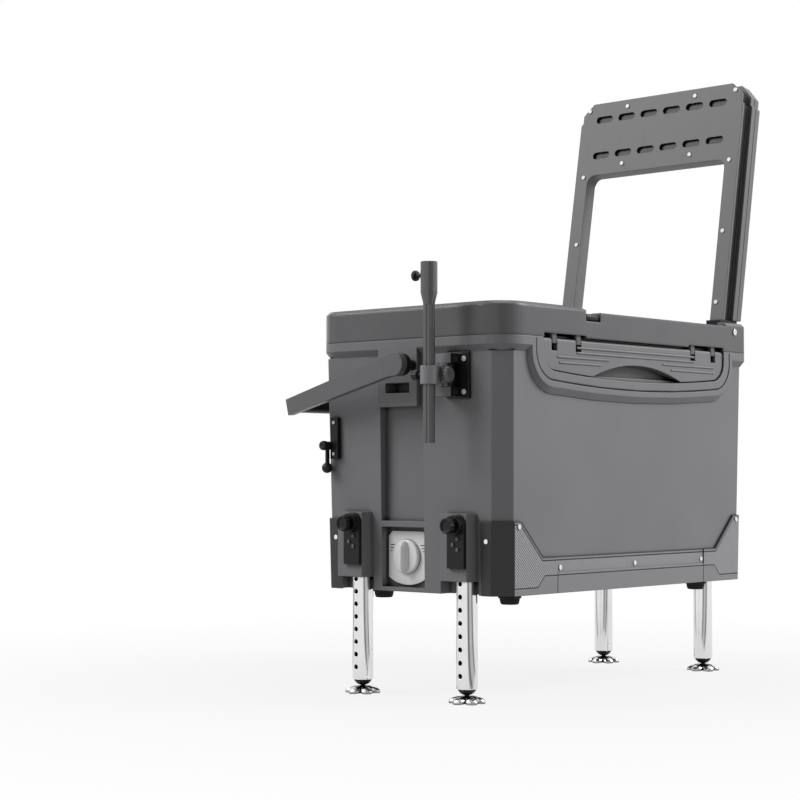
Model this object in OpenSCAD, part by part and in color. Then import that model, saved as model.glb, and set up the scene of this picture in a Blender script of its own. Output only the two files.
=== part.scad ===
// Fishing seat box: an insulated case on four extending legs, with a lift-up lid,
// a fold-down backrest frame, a carrying bail, a drain valve and two side brackets.
// Millimetres, +Z up, origin on the floor under the middle of the whole object.
// The front long side faces -Y and the drain end faces -X.

/* [Body] */
// Length of the lid and of the collar under it, left to right
lid_l = 512; // [470:1:600]
// Depth of the lid and of the collar under it, front to back
lid_d = 300; // [285:1:360]
// Height of the body's underside above the floor
ground_gap = 123; // [110:1:160]
// Height of the body, from its underside to the parting line
body_h = 297; // [285:1:360]
// How far the collar stands out over the body wall
collar_out = 6; // [5:0.5:9]
// Height of the collar's upright band
collar_h = 10.5; // [8:0.5:16]
// Height of the bevel under the collar
collar_bevel = 7.5; // [5:0.5:12]
// How much the body narrows on each side towards its foot
draft = 5; // [0:0.5:8]
// Chamfer of the body's front upright edge at the drain end
cut_left = 17.7; // [10:0.1:22]
// Chamfer of the body's rear upright edge at the drain end
cut_rear = 14; // [8:0.5:20]
// Chamfer of the body's upright edges at the backrest end
cut_right = 2.5; // [2:0.5:8]
// Thickness of the outer shell
shell_wall = 3.5; // [2.5:0.1:4]
// Thickness of the foam between the shell and the liner
foam_wall = 18; // [17:0.5:22]
// Thickness of the inner liner
liner_wall = 2.5; // [2:0.1:3.5]

/* [Lid] */
// Height of the lid's side above the parting line
lid_h = 39; // [37:0.5:44]
// Plan radius of the lid's corners at the drain end
lid_r_left = 38; // [25:1:44]
// Plan radius of the lid's corners at the backrest end
lid_r_right = 8; // [5:0.5:12]
// Bevel round the lid's top edge
lid_bevel = 4; // [2:0.5:6]
// Wall of the lid shell
lid_wall = 4; // [3:0.1:5]
// Depth of the recess that takes the folded backrest
recess_deep = 18; // [17.5:0.5:20]
// Drop of the rim beside the recess
rim_drop = 5; // [3:0.5:6]
// Thickness of the seat mat
mat_t = 4; // [2:0.5:5]
// Radius of the lid hinge barrels
barrel_r = 5; // [4:0.25:6]
// Width of the lid beside the recess
lid_side = 13; // [11:0.5:20]

/* [Backrest] */
// Height of the frame above its pivot, along the frame
rest_h = 347; // [280:1:349]
// Width of the frame's two arms
rest_arm_w = 20.5; // [18:0.5:26]
// Height of the frame's top panel
rest_panel_h = 107; // [95:1:140]
// Thickness of the front plate
front_plate_t = 4; // [3:0.5:5]
// Thickness of the dark core
core_t = 13; // [12:0.5:16]
// Thickness of the rear shell
rear_t = 22; // [18:0.5:24]
// Backward lean of the open frame, in degrees
lean = 10.2; // [6:0.2:12]
// Slots in each row of the top panel
slot_count = 6; // [4:1:6]
// Distance between neighbouring slots
slot_pitch = 37.6; // [34:0.2:38]
// Length of one slot
slot_l = 27.5; // [16:0.5:29]
// Height of one slot
slot_h = 9.5; // [5:0.5:11]

/* [Front latch] */
// Distance from the end of the latch's surround to the flap's end
flap_margin = 22; // [20:0.5:45]
// Height of the latch flap at its middle
flap_h = 45; // [40:1:46]
// Thickness of the latch flap
flap_t = 6; // [5:0.25:6.5]
// Height of the finger scoop
scoop_h = 19; // [12:1:22]
// Length of the finger scoop
scoop_l = 199; // [120:1:210]

/* [Legs] */
// Diameter of a leg tube
leg_d = 25; // [22:0.5:25]
// Wall of a leg tube
leg_wall = 1.6; // [1:0.1:2.5]
// How far the leg axes stand inside the collar's ends
leg_in = 10; // [9:0.5:12]
// Distance between a front leg's axis and a rear leg's axis
leg_span_y = 162; // [156:1:170]
// Distance between neighbouring holes in a leg
hole_pitch = 15; // [12:0.5:18]
// Diameter of the holes in a leg
hole_d = 6; // [4:0.25:7]
// Diameter of a claw foot
claw_d = 43; // [36:0.5:46]

/* [Bail] */
// Clear space between the resting crossbar and the lid hinge
bail_space = 1.8; // [1.5:0.1:12]
// Diameter of the crossbar's grip
bail_bar_d = 17; // [12:0.5:18]
// Width of a bail arm at its pivot
bail_eye_d = 28; // [24:0.5:32]
// Width of a bail arm at its far end
bail_tip_w = 20; // [18:0.5:24]
// Thickness of a bail arm
bail_arm_t = 9; // [6:0.5:10]
// Angle of the resting bail below level, in degrees
bail_drop = 13.5; // [10:0.5:15]

/* [Rod pole] */
// Diameter of the pole
pole_d = 13.5; // [10:0.5:14]
// Length of the pole
pole_l = 207; // [170:1:230]
// Diameter of the socket on the pole
socket_d = 19.5; // [17:0.5:22]

/* [Hidden] */

// Smoothness of round shapes, and of the round corners inside a hull
$fn = 64;
hull_fn = 40;
ball_fn = 48;

// Clearances: between parts that lie together, between parts that move, and round a pin
fit = 0.2;
gap = 0.3;
run_gap = 0.05;
// How far a cut runs past the face that it opens
over = 1;
// A reach that is longer than any part
beyond = lid_l;

// Heights
body_z = ground_gap;
part_z = body_z + body_h;
collar_z = part_z - collar_h;
wall_z = collar_z - collar_bevel;
lid_z = part_z + gap;
lid_top = part_z + lid_h;
rim_z = lid_top - rim_drop;
recess_z = lid_top - recess_deep;

// Plan sizes of the collar, and of the wall at a height
half_l = lid_l / 2;
half_d = lid_d / 2;
function inset_at(z) = collar_out + draft * (wall_z - z) / (wall_z - body_z);
function wall_x(z) = half_l - inset_at(z);
function wall_y(z) = half_d - inset_at(z);
// A chamfer grows by this share of the distance that its walls move outwards
chamfer_share = 2 - sqrt(2);
// The least chamfer, where the walls have moved far inwards
cut_least = 1.5;

// End faces: the middle of the recess and of the pad, towards the rear. A drop is measured
// down from the parting line, and a rise up from the body's underside.
end_mid_y = 12;
recess_w = 67;
end_recess_deep = 13;
drain_recess_deep = 17;
pad_w = 61;
pad_drop = 79;
pad_z = part_z - pad_drop;
ledge_rise = 83;
ledge_z = body_z + ledge_rise;
drain_low_rise = 5;
drain_low_z = body_z + drain_low_rise;
drain_high_rise = 76;
drain_high_z = body_z + drain_high_rise;
strap_slot_w = 38;
strap_slot_h = 12;
strap_slot_deep = 22;
strap_slot_drop = 57;
strap_slot_z = part_z - strap_slot_drop;

// Front panel: middle of the latch, the raised surround, and the flap
front_mid_x = 8;
bib_in = 43;
bib_l = lid_l - 2 * bib_in;
bib_sag = 10.5;
bib_bevel_side = 3.5;
bib_bevel_foot = 7.5;
bib_groove_in = 6.7;
bib_groove_w = 4.2;
bib_groove_deep = 2.2;
flap_l = bib_l - 2 * flap_margin;
flap_r = 24;
flap_sag = 9.5;
flap_face_in = 2;
flap_gap = 1.5;
bib_foot = 18;
bib_h = flap_h + flap_gap + bib_foot;
bib_r = flap_r + bib_foot;
finger_deep = 7;
hinge_r = 3.2;
hinge_pin_r = 1.5;
hinge_drop = 3.7;
latch_axis_y = -half_d + flap_face_in + hinge_r;
latch_axis_z = part_z - hinge_drop;
hinge_slot_w = 11;
hinge_slot_h = 15;
inner_slot_in = 63.5;
outer_slot_in = 16.5;
slot_in = [flap_l / 2 - inner_slot_in - hinge_slot_w, flap_l / 2 - inner_slot_in];
slot_out = [flap_l / 2 - outer_slot_in - hinge_slot_w, flap_l / 2 - outer_slot_in];
lug_inset = 1;
lug_drop = 6.4;
lid_notch_h = 5;
lid_notch_mid_h = 2.5;
lid_notch_spare = 7;

// Legs and their sockets
leg_x = half_l - leg_in;
leg_mid_y = -5;
leg_y_front = leg_mid_y - leg_span_y / 2;
leg_y_back = leg_mid_y + leg_span_y / 2;
LEGS = [[-1, leg_y_front], [-1, leg_y_back], [1, leg_y_front], [1, leg_y_back]];
leg_r = leg_d / 2;
sleeve_wall = 2;
sleeve_r = leg_r + fit + sleeve_wall;
socket_rise = 16;
socket_h = 77;
socket_low = body_z + socket_rise;
socket_high = socket_low + socket_h;
boss_wall = 1.6;
boss_x = leg_x + sleeve_r + boss_wall;
boss_front = 13;
boss_back = 26;
boss_slope = 3;
well_front = 17;
well_back = 40;
well_deep = 17;
socket_top_t = 4;
leg_top = socket_high - socket_top_t - gap;
leg_low = 16.5;
first_hole = 31.5;
hole_count = floor((leg_top - hole_d - first_hole) / hole_pitch) + 1;
lock_rise = 80;
lock_z = body_z + lock_rise;
housing_t = 4.5;
housing_w = 25;
housing_rise = 31;
housing_low = body_z + housing_rise;
lock_collar_r = 11.5;
lock_collar_t = 6;
lock_stem_r = 4;
lock_head_r = 8.6;
lock_head_t = 7;
lock_neck = 4;
lock_nose_r = 2.6;
small_screw_r = 2.2;
small_screw_t = 1.4;
lock_screw_out = 3.5;
lock_screw_drops = [15, 22, 27.5];
lock_screws = [
    [lock_screw_out, lock_screw_drops[0]], [-lock_screw_out, lock_screw_drops[1]],
    [lock_screw_out, lock_screw_drops[2]]
];

// Claw feet
cap_low = 10;
cap_r = 10.5;
ball_r = 5;
ball_z = 12.4;
ball_gap = 0.1;
stem_r = 2.6;
claw_plate_low = 3.4;
claw_plate_t = 2.2;
claw_points = 6;
claw_root_share = 0.74;
claw_tip_r = 3.4;
claw_tip_share = 0.7;
claw_hub_r = 8;
claw_hub_t = 1.6;

// Corner guards, trim strips and rubber feet. The guards end just short of the leg bosses.
guard_t = 3;
guard_mid_x = 6.5;
guard_seam_in = 101.5;
guard_seam = half_l - guard_seam_in;
guard_knee_in = 74;
guard_knee = half_l - guard_knee_in;
guard_shoulder_in = 32;
guard_shoulder = half_l - guard_shoulder_in;
guard_low_h = 42.5;
guard_high_h = 84.5;
seam_gap = 0.6;
guard_boss_gap = 7;
guard_side_y = max(boss_front + boss_slope + guard_boss_gap - leg_y_front,
                   leg_y_back + boss_back + boss_slope + guard_boss_gap / 2);
trim_step_h = 24;
trim_step_t = 1.2;
guard_screw_r = 2.8;
guard_screw_t = 1.2;
rubber_r = 13.5;
rubber_h = 8;
rubber_lip_r = 11;
rubber_lip_h = 3;
rubber_in = 61;
rubber_x = half_l - rubber_in;
rubber_in_front = 42;
rubber_in_back = 62;
rubber_y = [rubber_in_front - half_d, half_d - rubber_in_back];

// Screws of the guards and strips: place along X, height over the underside, and which long side
guard_screw_in = [27, 25];
seam_screw_in = 5;
strip_screw_x = 2;
guard_screw_h = guard_high_h - guard_screw_r - guard_t;
strip_screw_h = trim_step_h + guard_screw_r + guard_t;
long_screws = [
    [guard_screw_in[0] - half_l, guard_screw_h], [seam_screw_in - guard_seam, strip_screw_h],
    [strip_screw_x, strip_screw_h], [guard_seam - seam_screw_in, strip_screw_h],
    [half_l - guard_screw_in[1], guard_screw_h]
];
guard_spots = [
    for (side = [-1, 1]) for (s = long_screws) [guard_mid_x + s[0], side, body_z + s[1]]
];
end_screw_h = 62;
end_screw_y = (guard_side_y + wall_y(body_z + end_screw_h) + guard_t - cut_left) / 2;

// Insides
liner_floor = body_z + shell_wall + foam_wall + 2 * fit;
liner_drop = 6;
liner_top = part_z - liner_drop;
liner_flange = 3;
gasket_t = 2.6;
gasket_w = 8;
plug_h = 8;
plug_gap = 3;

// Drain
drain_rise = 41;
drain_z = body_z + drain_rise;
drain_shift = 1;
drain_y = end_mid_y + drain_shift;
drain_plate_w = 60;
drain_plate_h = 63.5;
drain_plate_t = 3;
drain_plate_rise = 7.5;
drain_plate_low = body_z + drain_plate_rise;
drain_plate_high = drain_plate_low + drain_plate_h;
drain_plate_cut = 6;
drain_sag = 9;
// Radius of the plate's round foot, from its chord and its sag: (chord / 2)^2 / (2 sag) + sag / 2
drain_round = (drain_plate_w / 2) * (drain_plate_w / 2) / (2 * drain_sag) + drain_sag / 2;
drain_knob_r = 18;
drain_knob_t = 5;
drain_grip_t = 5;
drain_grip_w = 8;
drain_bore_r = 9;
drain_wall = 2;
drain_out_x = drain_recess_deep - wall_x(wall_z) - drain_plate_t - fit;

// Lid hinge at the rear, its two barrels each of three knuckles
barrel_y = half_d + barrel_r;
hinge_in = 106;
hinge_x = half_l - hinge_in;
hinge_w = 60;
knuckle_w = hinge_w / 3;
leaf_t = 3;
leaf_h = 20;
hinge_bolt_r = 2.5;

// Backrest pivot, recess and frame
pocket_spare = 3;
rest_w = lid_d - 2 * (lid_side + pocket_spare);
rest_t = front_plate_t + core_t + rear_t;
pivot_in = 30;
pivot_x = half_l - pivot_in;
pivot_drop = 12;
pivot_z = lid_top - pivot_drop;
rest_face = 4.3;
rest_foot_rise = 5;
rest_foot_z = lid_top + rest_foot_rise;
pocket_end = pivot_x - rest_h - pocket_spare;
pocket_half = rest_w / 2 + pocket_spare;
rim_start = 28;
rim_left = pocket_end + rim_start;
rim_slope = 12;
rim_right_in = 50;
rim_right = half_l - rim_right_in;
shelf_in = 16;
shelf_x = half_l - shelf_in;
trough_w = 24;
trough_x = pivot_x - trough_w;
lug_r = 10;
lug_foot = 0.4;
trough_spare = 0.65;
trough_deep = lug_r * cos(lean) + (rest_foot_z - pivot_z) * sin(lean) + trough_spare;
trough_z = pivot_z - trough_deep;
floor_t = 3.5;
island_gap = 4;
island_x = [
    pivot_x - rest_h + rest_panel_h + island_gap,
    pivot_x - rest_foot_z + pivot_z - island_gap
];
island_y = rest_w / 2 - rest_arm_w - island_gap;
mat_proud = 2;
island_z = rim_z + mat_proud - mat_t;
pivot_r = 3;
pivot_head_r = 4.1;
pivot_head_t = 1.6;
corner_cut = 16;
shoulder_drop = 30;
shoulder_in = 3;
shoulder_z = rest_h - shoulder_drop;
window_r = 12;
core_in = 3;
window_rim = 2.5;
rear_skin = 2.5;
rear_set = 16;
rear_flare = 2.5;
seam_at = 9;
seam_w = 1;
slot_drops = [25, 78];
screw_r = 2.9;
screw_t = 1.2;
arm_screw_in = 13.5;
top_screw_drop = 10;
panel_screw_x = 56;
panel_screw_rise = 13;
arm_screw_shares = [0.687, 0.402, 0.12];
rest_screws = concat(
    [
        [rest_w / 2 - arm_screw_in, rest_h - top_screw_drop],
        [panel_screw_x, rest_h - top_screw_drop],
        [panel_screw_x, rest_h - rest_panel_h + panel_screw_rise]
    ],
    [for (share = arm_screw_shares) [rest_w / 2 - arm_screw_in, share * rest_h]]
);
catch_in = 9;
catch_x = rim_left + catch_in;
catch_w = 28;
catch_h = 9;
catch_drop = 11;
catch_z = rim_z - catch_drop;
catch_t = 8;

// Bail
bail_ahead = 23.5;
bail_y = end_mid_y - bail_ahead;
bail_down = 31;
bail_z = part_z - bail_down;
bail_out = 34;
bail_x = half_l + bail_out;
bail_bar_r = bail_bar_d / 2;
bail_bar_y = barrel_y + barrel_r + bail_space + bail_bar_r;
bail_reach = (bail_bar_y - bail_y) / cos(bail_drop);
bail_toe = 5.6;
hub_boss_r = 6;
hub_flange_r = 13;
hub_flange_t = 9;
bail_pin_r = 3;
bail_bore_deep = 6;
bail_tenon_r = 5;
bail_neck = 18;
bail_neck_w = 24;
bail_bar_end = bail_x - (bail_reach - bail_neck) * tan(bail_toe) - bail_arm_t / cos(bail_toe)
    - bail_bar_r * tan(bail_toe);

// Front bracket with its pole
bracket_in = 72;
bracket_y = bracket_in - half_d;
bracket_w = 34;
bracket_drop = 18;
bracket_h = 53.5;
bracket_high = part_z - bracket_drop;
bracket_low = bracket_high - bracket_h;
bracket_t = 3.5;
bracket_face = wall_x(bracket_low) + bracket_t;
fork_shift = 6;
fork_y = bracket_y + fork_shift;
fork_w = 21;
fork_out = 15;
fork_x = half_l + fork_out;
fork_t = 11;
fork_drop = 45;
fork_mid_z = part_z - fork_drop;
fork_open = 27;
swivel_out = 8;
swivel_x = half_l + swivel_out;
swivel_r = 8.5;
swivel_body_r = 9.5;
clevis_r = 2.5;
bracket_screw_shift = 10;
bracket_screw_y = bracket_y - bracket_screw_shift;
bracket_screw_r = 3.2;
bracket_screw_out = 19;
pole_out = 34;
pole_x = half_l + pole_out;
pole_shift = 11;
pole_y = bracket_y + pole_shift;
pole_hang = 123;
pole_low = part_z - pole_hang;
ring_h = 21;
ring_below = 11;
ring_low = fork_mid_z - ring_below;
ring_high = ring_low + ring_h;
ring_r = 10.2;
clamp_r = 6;
clamp_t = 9;
clamp_stem_r = 2.5;
clamp_reach = 15;
socket_l = 35;
socket_taper = 12;
socket_wall = 2.5;
thumb_drop = 15;
thumb_r = 6.2;
thumb_t = 5;
thumb_stem_r = 2.2;
thumb_reach = 18;
swivel_cap_r = 8;
swivel_cap_t = 4;
swivel_neck_w = 8;

// Rear bracket
rear_in = 33;
rear_y = half_d - rear_in;
rear_w = 12;
rear_plate_t = 6;
rear_drop = 90;
rear_h = 50;
rear_high = part_z - rear_drop;
rear_low = rear_high - rear_h;
rear_face = wall_x(rear_low) + rear_plate_t;
rear_pivot_shift = 8;
rear_pivot_y = rear_y + rear_pivot_shift;
rear_pivot_rise = 16;
rear_pivot_z = rear_low + rear_pivot_rise;
rear_pin_r = 2;
rear_arm_t = 4.5;
rear_arm_r = 5;
rear_ball_r = 6.5;
rear_ball_shift = 9;
rear_ball_y = rear_y + rear_ball_shift;
rear_ball_drop = 27;
rear_knob_r = 5.6;
rear_knob_t = 8;
rear_screw_in = 6;

// The whole object's middle, which stands over the origin
reach_left = pole_x + ring_r;
reach_right = pivot_x + (rest_t - rest_face) * cos(lean) + rest_h * sin(lean);
reach_back = bail_bar_y + bail_tip_w / 2;
mid_x = (reach_right - reach_left) / 2;
mid_y = (reach_back - half_d) / 2;

// Colours
shell_grey = "#6b6b70";
lid_grey = "#5d5d61";
plate_grey = "#6f7073";
black = "#1d1d1f";
dark = "#2c2c2e";
chrome = "#c9ccd0";
white = "#efefec";
foam = "#e8e2cf";

// Shared shapes

module placed() {
    translate([-mid_x, -mid_y, 0]) children();
}

module block(x, y, z) {
    translate([x[0], y[0], z[0]]) cube([x[1] - x[0], y[1] - y[0], z[1] - z[0]]);
}

module rod_x(r, x, y, z) {
    translate([x[0], y, z]) rotate([0, 90, 0]) cylinder(r = r, h = x[1] - x[0]);
}

module rod_y(r, x, y, z) {
    translate([x, y[0], z]) rotate([-90, 0, 0]) cylinder(r = r, h = y[1] - y[0]);
}

module rod_z(r, x, y, z) {
    translate([x, y, z[0]]) cylinder(r = r, h = z[1] - z[0]);
}

// A profile drawn in X and Z, given thickness along Y
module upright(y) {
    translate([0, y[1], 0]) rotate([90, 0, 0]) linear_extrude(y[1] - y[0]) children();
}

// The same piece on both ends, or at each leg
module both_ends() {
    for (side = [0, 1]) mirror([side, 0, 0]) children();
}

// One body outline: an oblong with its four corners cut, counter-clockwise
function outline(x, y, left, right, rear, z) = [
    [-x + left, -y, z], [x - right, -y, z], [x, -y + right, z], [x, y - right, z],
    [x - right, y, z], [-x + rear, y, z], [-x, y - rear, z], [-x, -y + left, z]
];

// The drafted body form between two heights, moved outwards by grow
module drafted(grow, z_low, z_high) {
    left = max(cut_least, cut_left + grow * chamfer_share);
    right = max(cut_least, cut_right + grow * chamfer_share);
    rear = max(cut_least, cut_rear + grow * chamfer_share);
    low = outline(wall_x(z_low) + grow, wall_y(z_low) + grow, left, right, rear, z_low);
    high = outline(wall_x(z_high) + grow, wall_y(z_high) + grow, left, right, rear, z_high);
    count = len(low);
    polyhedron(
        points = concat(low, high),
        faces = concat(
            [[for (i = [0 : count - 1]) i]],
            [[for (i = [count - 1 : -1 : 0]) count + i]],
            [for (i = [0 : count - 1]) [i, count + i, count + (i + 1) % count, (i + 1) % count]]
        )
    );
}

// The lid's plan, moved inwards
module lid_plan(inward = 0) {
    x = half_l - inward;
    y = half_d - inward;
    big = lid_r_left - inward;
    small = lid_r_right - min(inward, lid_r_right - lid_wall / 2);
    translate([big - x, -y]) square([2 * x - big - small, 2 * y]);
    translate([-x, big - y]) square([big + small, 2 * (y - big)]);
    translate([x - 2 * small, small - y]) square([2 * small, 2 * (y - small)]);
    for (side = [-1, 1]) {
        translate([big - x, side * (y - big)]) circle(big);
        translate([x - small, side * (y - small)]) circle(small);
    }
}

// A panel that hangs from the collar: its foot is one long flat arc, its corners are round
module hanging_panel(l, h, r, sag, top) {
    big = (l * l / 4 + sag * sag) / (2 * sag);
    // The arc's height over its lowest point, where a corner begins
    lift = sag * pow(1 - 2 * r / l, 2);
    intersection() {
        union() {
            translate([-l / 2, top - h + r + lift]) square([l, h - r - lift]);
            translate([r - l / 2, top - h]) square([l - 2 * r, h]);
            for (side = [-1, 1]) translate([side * (l / 2 - r), top - h + r + lift]) circle(r);
        }
        translate([0, top - h + big]) circle(big, $fn = 4 * hull_fn);
        translate([-l / 2, top - h]) square([l, h]);
    }
}

// Body group

module leg_boss() {
    both_ends() for (y = [leg_y_front, leg_y_back])
        translate([0, y, socket_low]) linear_extrude(socket_high - socket_low)
            polygon([
                [-wall_x(socket_low) + shell_wall, -boss_front - boss_slope],
                [-boss_x, -boss_front], [-boss_x, boss_back],
                [-wall_x(socket_low) + shell_wall, boss_back + boss_slope]
            ]);
}

// Everything that is cut into the walls, moved outwards by grow so that a wall can follow it
module wall_pockets(grow) {
    x_end = half_l + beyond;
    both_ends() {
        block([-x_end, end_recess_deep + grow - wall_x(wall_z)],
              [end_mid_y - recess_w / 2 - grow, end_mid_y + recess_w / 2 + grow],
              [ledge_z - grow, pad_z + grow]);
        block([-x_end, strap_slot_deep + grow - half_l],
              [end_mid_y - strap_slot_w / 2 - grow, end_mid_y + strap_slot_w / 2 + grow],
              [strap_slot_z - strap_slot_h / 2 - grow, strap_slot_z + strap_slot_h / 2 + grow]);
        for (y = [leg_y_front, leg_y_back]) {
            block([-x_end, well_deep + grow - wall_x(body_z)],
                  [y - well_front - grow, y + well_back + grow],
                  [body_z - over, socket_low + grow]);
            rod_z(sleeve_r + grow, -leg_x, y, [socket_low, socket_high - socket_top_t + grow]);
        }
    }
    block([-x_end, drain_recess_deep + grow - wall_x(wall_z)],
          [end_mid_y - recess_w / 2 - grow, end_mid_y + recess_w / 2 + grow],
          [drain_low_z - grow, drain_high_z + grow]);
    rod_x(drain_bore_r + drain_wall + grow, [-half_l, foam_wall + 2 * shell_wall - wall_x(wall_z)],
          drain_y, drain_z);
}

// The raised surround of the latch, and the pocket that the flap lies in
module bib() {
    y_in = over - wall_y(body_z);
    hull() {
        upright([-half_d, y_in]) bib_panel(0, 0);
        upright([collar_out - half_d, y_in]) bib_panel(bib_bevel_side, bib_bevel_foot);
    }
}

// The surround's outline, moved outwards at its ends and at its foot
module bib_panel(grow, grow_foot) {
    translate([front_mid_x, 0, 0])
        hanging_panel(bib_l + 2 * grow, bib_h + grow_foot, bib_r + grow_foot, bib_sag, part_z,
                      $fn = hull_fn);
}

// The groove that parts the surround's two bands: it slopes in from the inner band and ends
// at a step
module bib_groove() {
    inner = -bib_groove_in - bib_groove_w;
    difference() {
        upright([-half_d - over, bib_groove_deep - half_d]) bib_panel(-bib_groove_in, -bib_groove_in);
        hull() {
            upright([-half_d - 2 * over, -half_d]) bib_panel(inner, inner);
            upright([-half_d - over, bib_groove_deep + over - half_d]) bib_panel(inner, inner);
            upright([bib_groove_deep - half_d, bib_groove_deep + over - half_d])
                bib_panel(gap - bib_groove_in, gap - bib_groove_in);
        }
        block([-half_l, half_l], [-half_d - over, half_d], [part_z - flap_gap, part_z + over]);
    }
}

module flap_outline(grow, top) {
    translate([front_mid_x, 0, 0])
        hanging_panel(flap_l + 2 * grow, flap_h + grow + top - part_z, flap_r + grow, flap_sag, top);
}

module scoop(y, grow = 0) {
    big = (scoop_l * scoop_l / 4 + scoop_h * scoop_h) / (2 * scoop_h);
    rod_y(big + grow, front_mid_x, y, part_z - flap_h + scoop_h - big, $fn = 4 * hull_fn);
}
module latch_pocket(grow) {
    back = -half_d + flap_face_in + flap_t + flap_gap;
    upright([-half_d - over, back + grow]) flap_outline(flap_gap + grow, part_z + over);
    intersection() {
        scoop([-half_d, back + finger_deep + grow], grow);
        block([-half_l, half_l], [-half_d, 0], [part_z - flap_h + shell_wall - grow, part_z]);
    }
}

module collar() {
    linear_extrude(part_z - collar_z) lid_plan();
}

module outer_shell() {
    color(shell_grey) placed() difference() {
        union() {
            difference() {
                union() {
                    drafted(0, body_z, wall_z);
                    translate([0, 0, collar_z]) collar();
                    hull() {
                        translate([0, 0, collar_z]) linear_extrude(gap) lid_plan($fn = hull_fn);
                        translate([0, 0, wall_z]) linear_extrude(gap) lid_plan(collar_out, $fn = hull_fn);
                    }
                    leg_boss();
                    both_ends() block([-half_l, over - wall_x(body_z)],
                          [end_mid_y - pad_w / 2, end_mid_y + pad_w / 2], [pad_z, collar_z + over]);
                    bib();
                }
                drafted(-shell_wall, body_z + shell_wall, part_z + over);
            }
            intersection() {
                wall_pockets(shell_wall);
                drafted(-shell_wall / 2, body_z + shell_wall / 2, wall_z);
            }
            intersection() {
                latch_pocket(shell_wall);
                drafted(-shell_wall / 2, body_z, part_z);
            }
        }
        wall_pockets(0);
        latch_pocket(0);
        bib_groove();
        both_ends() {
            rod_x(bail_pin_r + run_gap, [-half_l - over, over + shell_wall - half_l], bail_y, bail_z);
            for (y = [leg_y_front, leg_y_back])
                rod_x(lock_nose_r + fit, [-boss_x - over, -leg_x], y, lock_z);
        }
    }
}

module foam_core() {
    color(foam) placed() difference() {
        drafted(-shell_wall - fit, body_z + shell_wall + fit, liner_top - fit);
        drafted(-shell_wall - foam_wall, liner_floor - fit, part_z);
        rod_x(drain_bore_r + drain_wall + shell_wall + fit, [-half_l, -half_l / 2], drain_y, drain_z);
        wall_pockets(shell_wall + fit);
        latch_pocket(shell_wall + fit);
    }
}

module inner_liner() {
    inset = shell_wall + foam_wall + fit;
    color(white) placed() difference() {
        union() {
            drafted(-inset, liner_floor, liner_top + liner_flange);
            drafted(-shell_wall - fit, liner_top, liner_top + liner_flange);
        }
        drafted(-inset - liner_wall, liner_floor + liner_wall, part_z);
        rod_x(drain_bore_r + run_gap, [-half_l, -half_l / 2], drain_y, drain_z);
        latch_pocket(shell_wall + fit);
    }
}

// Corner guards wrap the body's lower corners, and trim strips join them along the long sides
module guard_side(side) {
    x_out = side * (half_l + over);
    polygon([
        [x_out, body_z], [guard_mid_x + side * (guard_seam + seam_gap), body_z],
        [guard_mid_x + side * (guard_seam + seam_gap), body_z + guard_low_h],
        [guard_mid_x + side * guard_knee, body_z + guard_low_h],
        [guard_mid_x + side * guard_shoulder, body_z + guard_high_h],
        [x_out, body_z + guard_high_h]
    ]);
}

module skin(grow, z_high) {
    difference() {
        drafted(grow, body_z, z_high);
        drafted(fit, body_z - over, z_high + over);
    }
}

module corner_guards() {
    color(plate_grey) placed() difference() {
        intersection() {
            skin(guard_t, body_z + guard_high_h);
            for (side = [-1, 1]) upright([-half_d, half_d]) guard_side(side);
        }
        block([-beyond, beyond], [-guard_side_y, guard_side_y], [0, part_z]);
        for (spot = guard_spots) guard_hole(spot);
    }
}

module trim_strips() {
    color(plate_grey) placed() difference() {
        intersection() {
            skin(guard_t, body_z + guard_low_h);
            block([guard_mid_x - guard_seam, guard_mid_x + guard_seam], [-half_d, half_d],
                  [body_z, body_z + guard_low_h]);
        }
        difference() {
            block([-beyond, beyond], [-beyond, beyond], [body_z + trim_step_h, part_z]);
            drafted(guard_t - trim_step_t, body_z, wall_z);
        }
        for (spot = guard_spots) guard_hole(spot);
    }
}

module guard_hole(spot) {
    y = spot[1] * (wall_y(spot[2]) + guard_t);
    rod_y(small_screw_r / 2 + fit, spot[0], [y - guard_t - over, y + guard_t + over], spot[2]);
}

module guard_screws() {
    color(chrome) placed() {
        for (spot = guard_spots) {
            step = spot[2] < body_z + guard_low_h && spot[2] > body_z + trim_step_h ? trim_step_t : 0;
            strip = abs(spot[0] - guard_mid_x) < guard_seam ? step : 0;
            low = wall_y(spot[2]) + guard_t - strip;
            tilt_room = draft * guard_screw_r / (wall_z - body_z);
            mirror([0, spot[1] < 0 ? 1 : 0, 0]) {
                rod_y(guard_screw_r, spot[0], [low + tilt_room, low + guard_screw_t], spot[2]);
                rod_y(small_screw_r / 2, spot[0], [low - guard_t / 2, low + guard_screw_t], spot[2]);
            }
        }
        both_ends() for (side = [-1, 1]) {
            z = body_z + end_screw_h;
            x = wall_x(z) + guard_t;
            tilt_room = draft * guard_screw_r / (wall_z - body_z);
            rod_x(guard_screw_r, [-x - guard_screw_t, -x - tilt_room], side * end_screw_y, z);
        }
    }
}

module rubber_feet() {
    color(black) placed() for (x = [-rubber_x, rubber_x]) for (y = rubber_y) {
        rod_z(rubber_r, x, y, [body_z - rubber_h + rubber_lip_h, body_z]);
        rod_z(rubber_lip_r, x, y, [body_z - rubber_h, body_z - rubber_h + rubber_lip_h]);
    }
}

module leg_sleeves() {
    color(dark) placed() difference() {
        for (leg = LEGS) rod_z(sleeve_r - fit, leg[0] * leg_x, leg[1], [socket_low, leg_top]);
        for (leg = LEGS)
            rod_z(leg_r + run_gap, leg[0] * leg_x, leg[1], [socket_low - over, leg_top + over]);
        both_ends() for (y = [leg_y_front, leg_y_back])
            rod_x(lock_nose_r + fit, [-boss_x, -leg_x], y, lock_z);
    }
}

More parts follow.
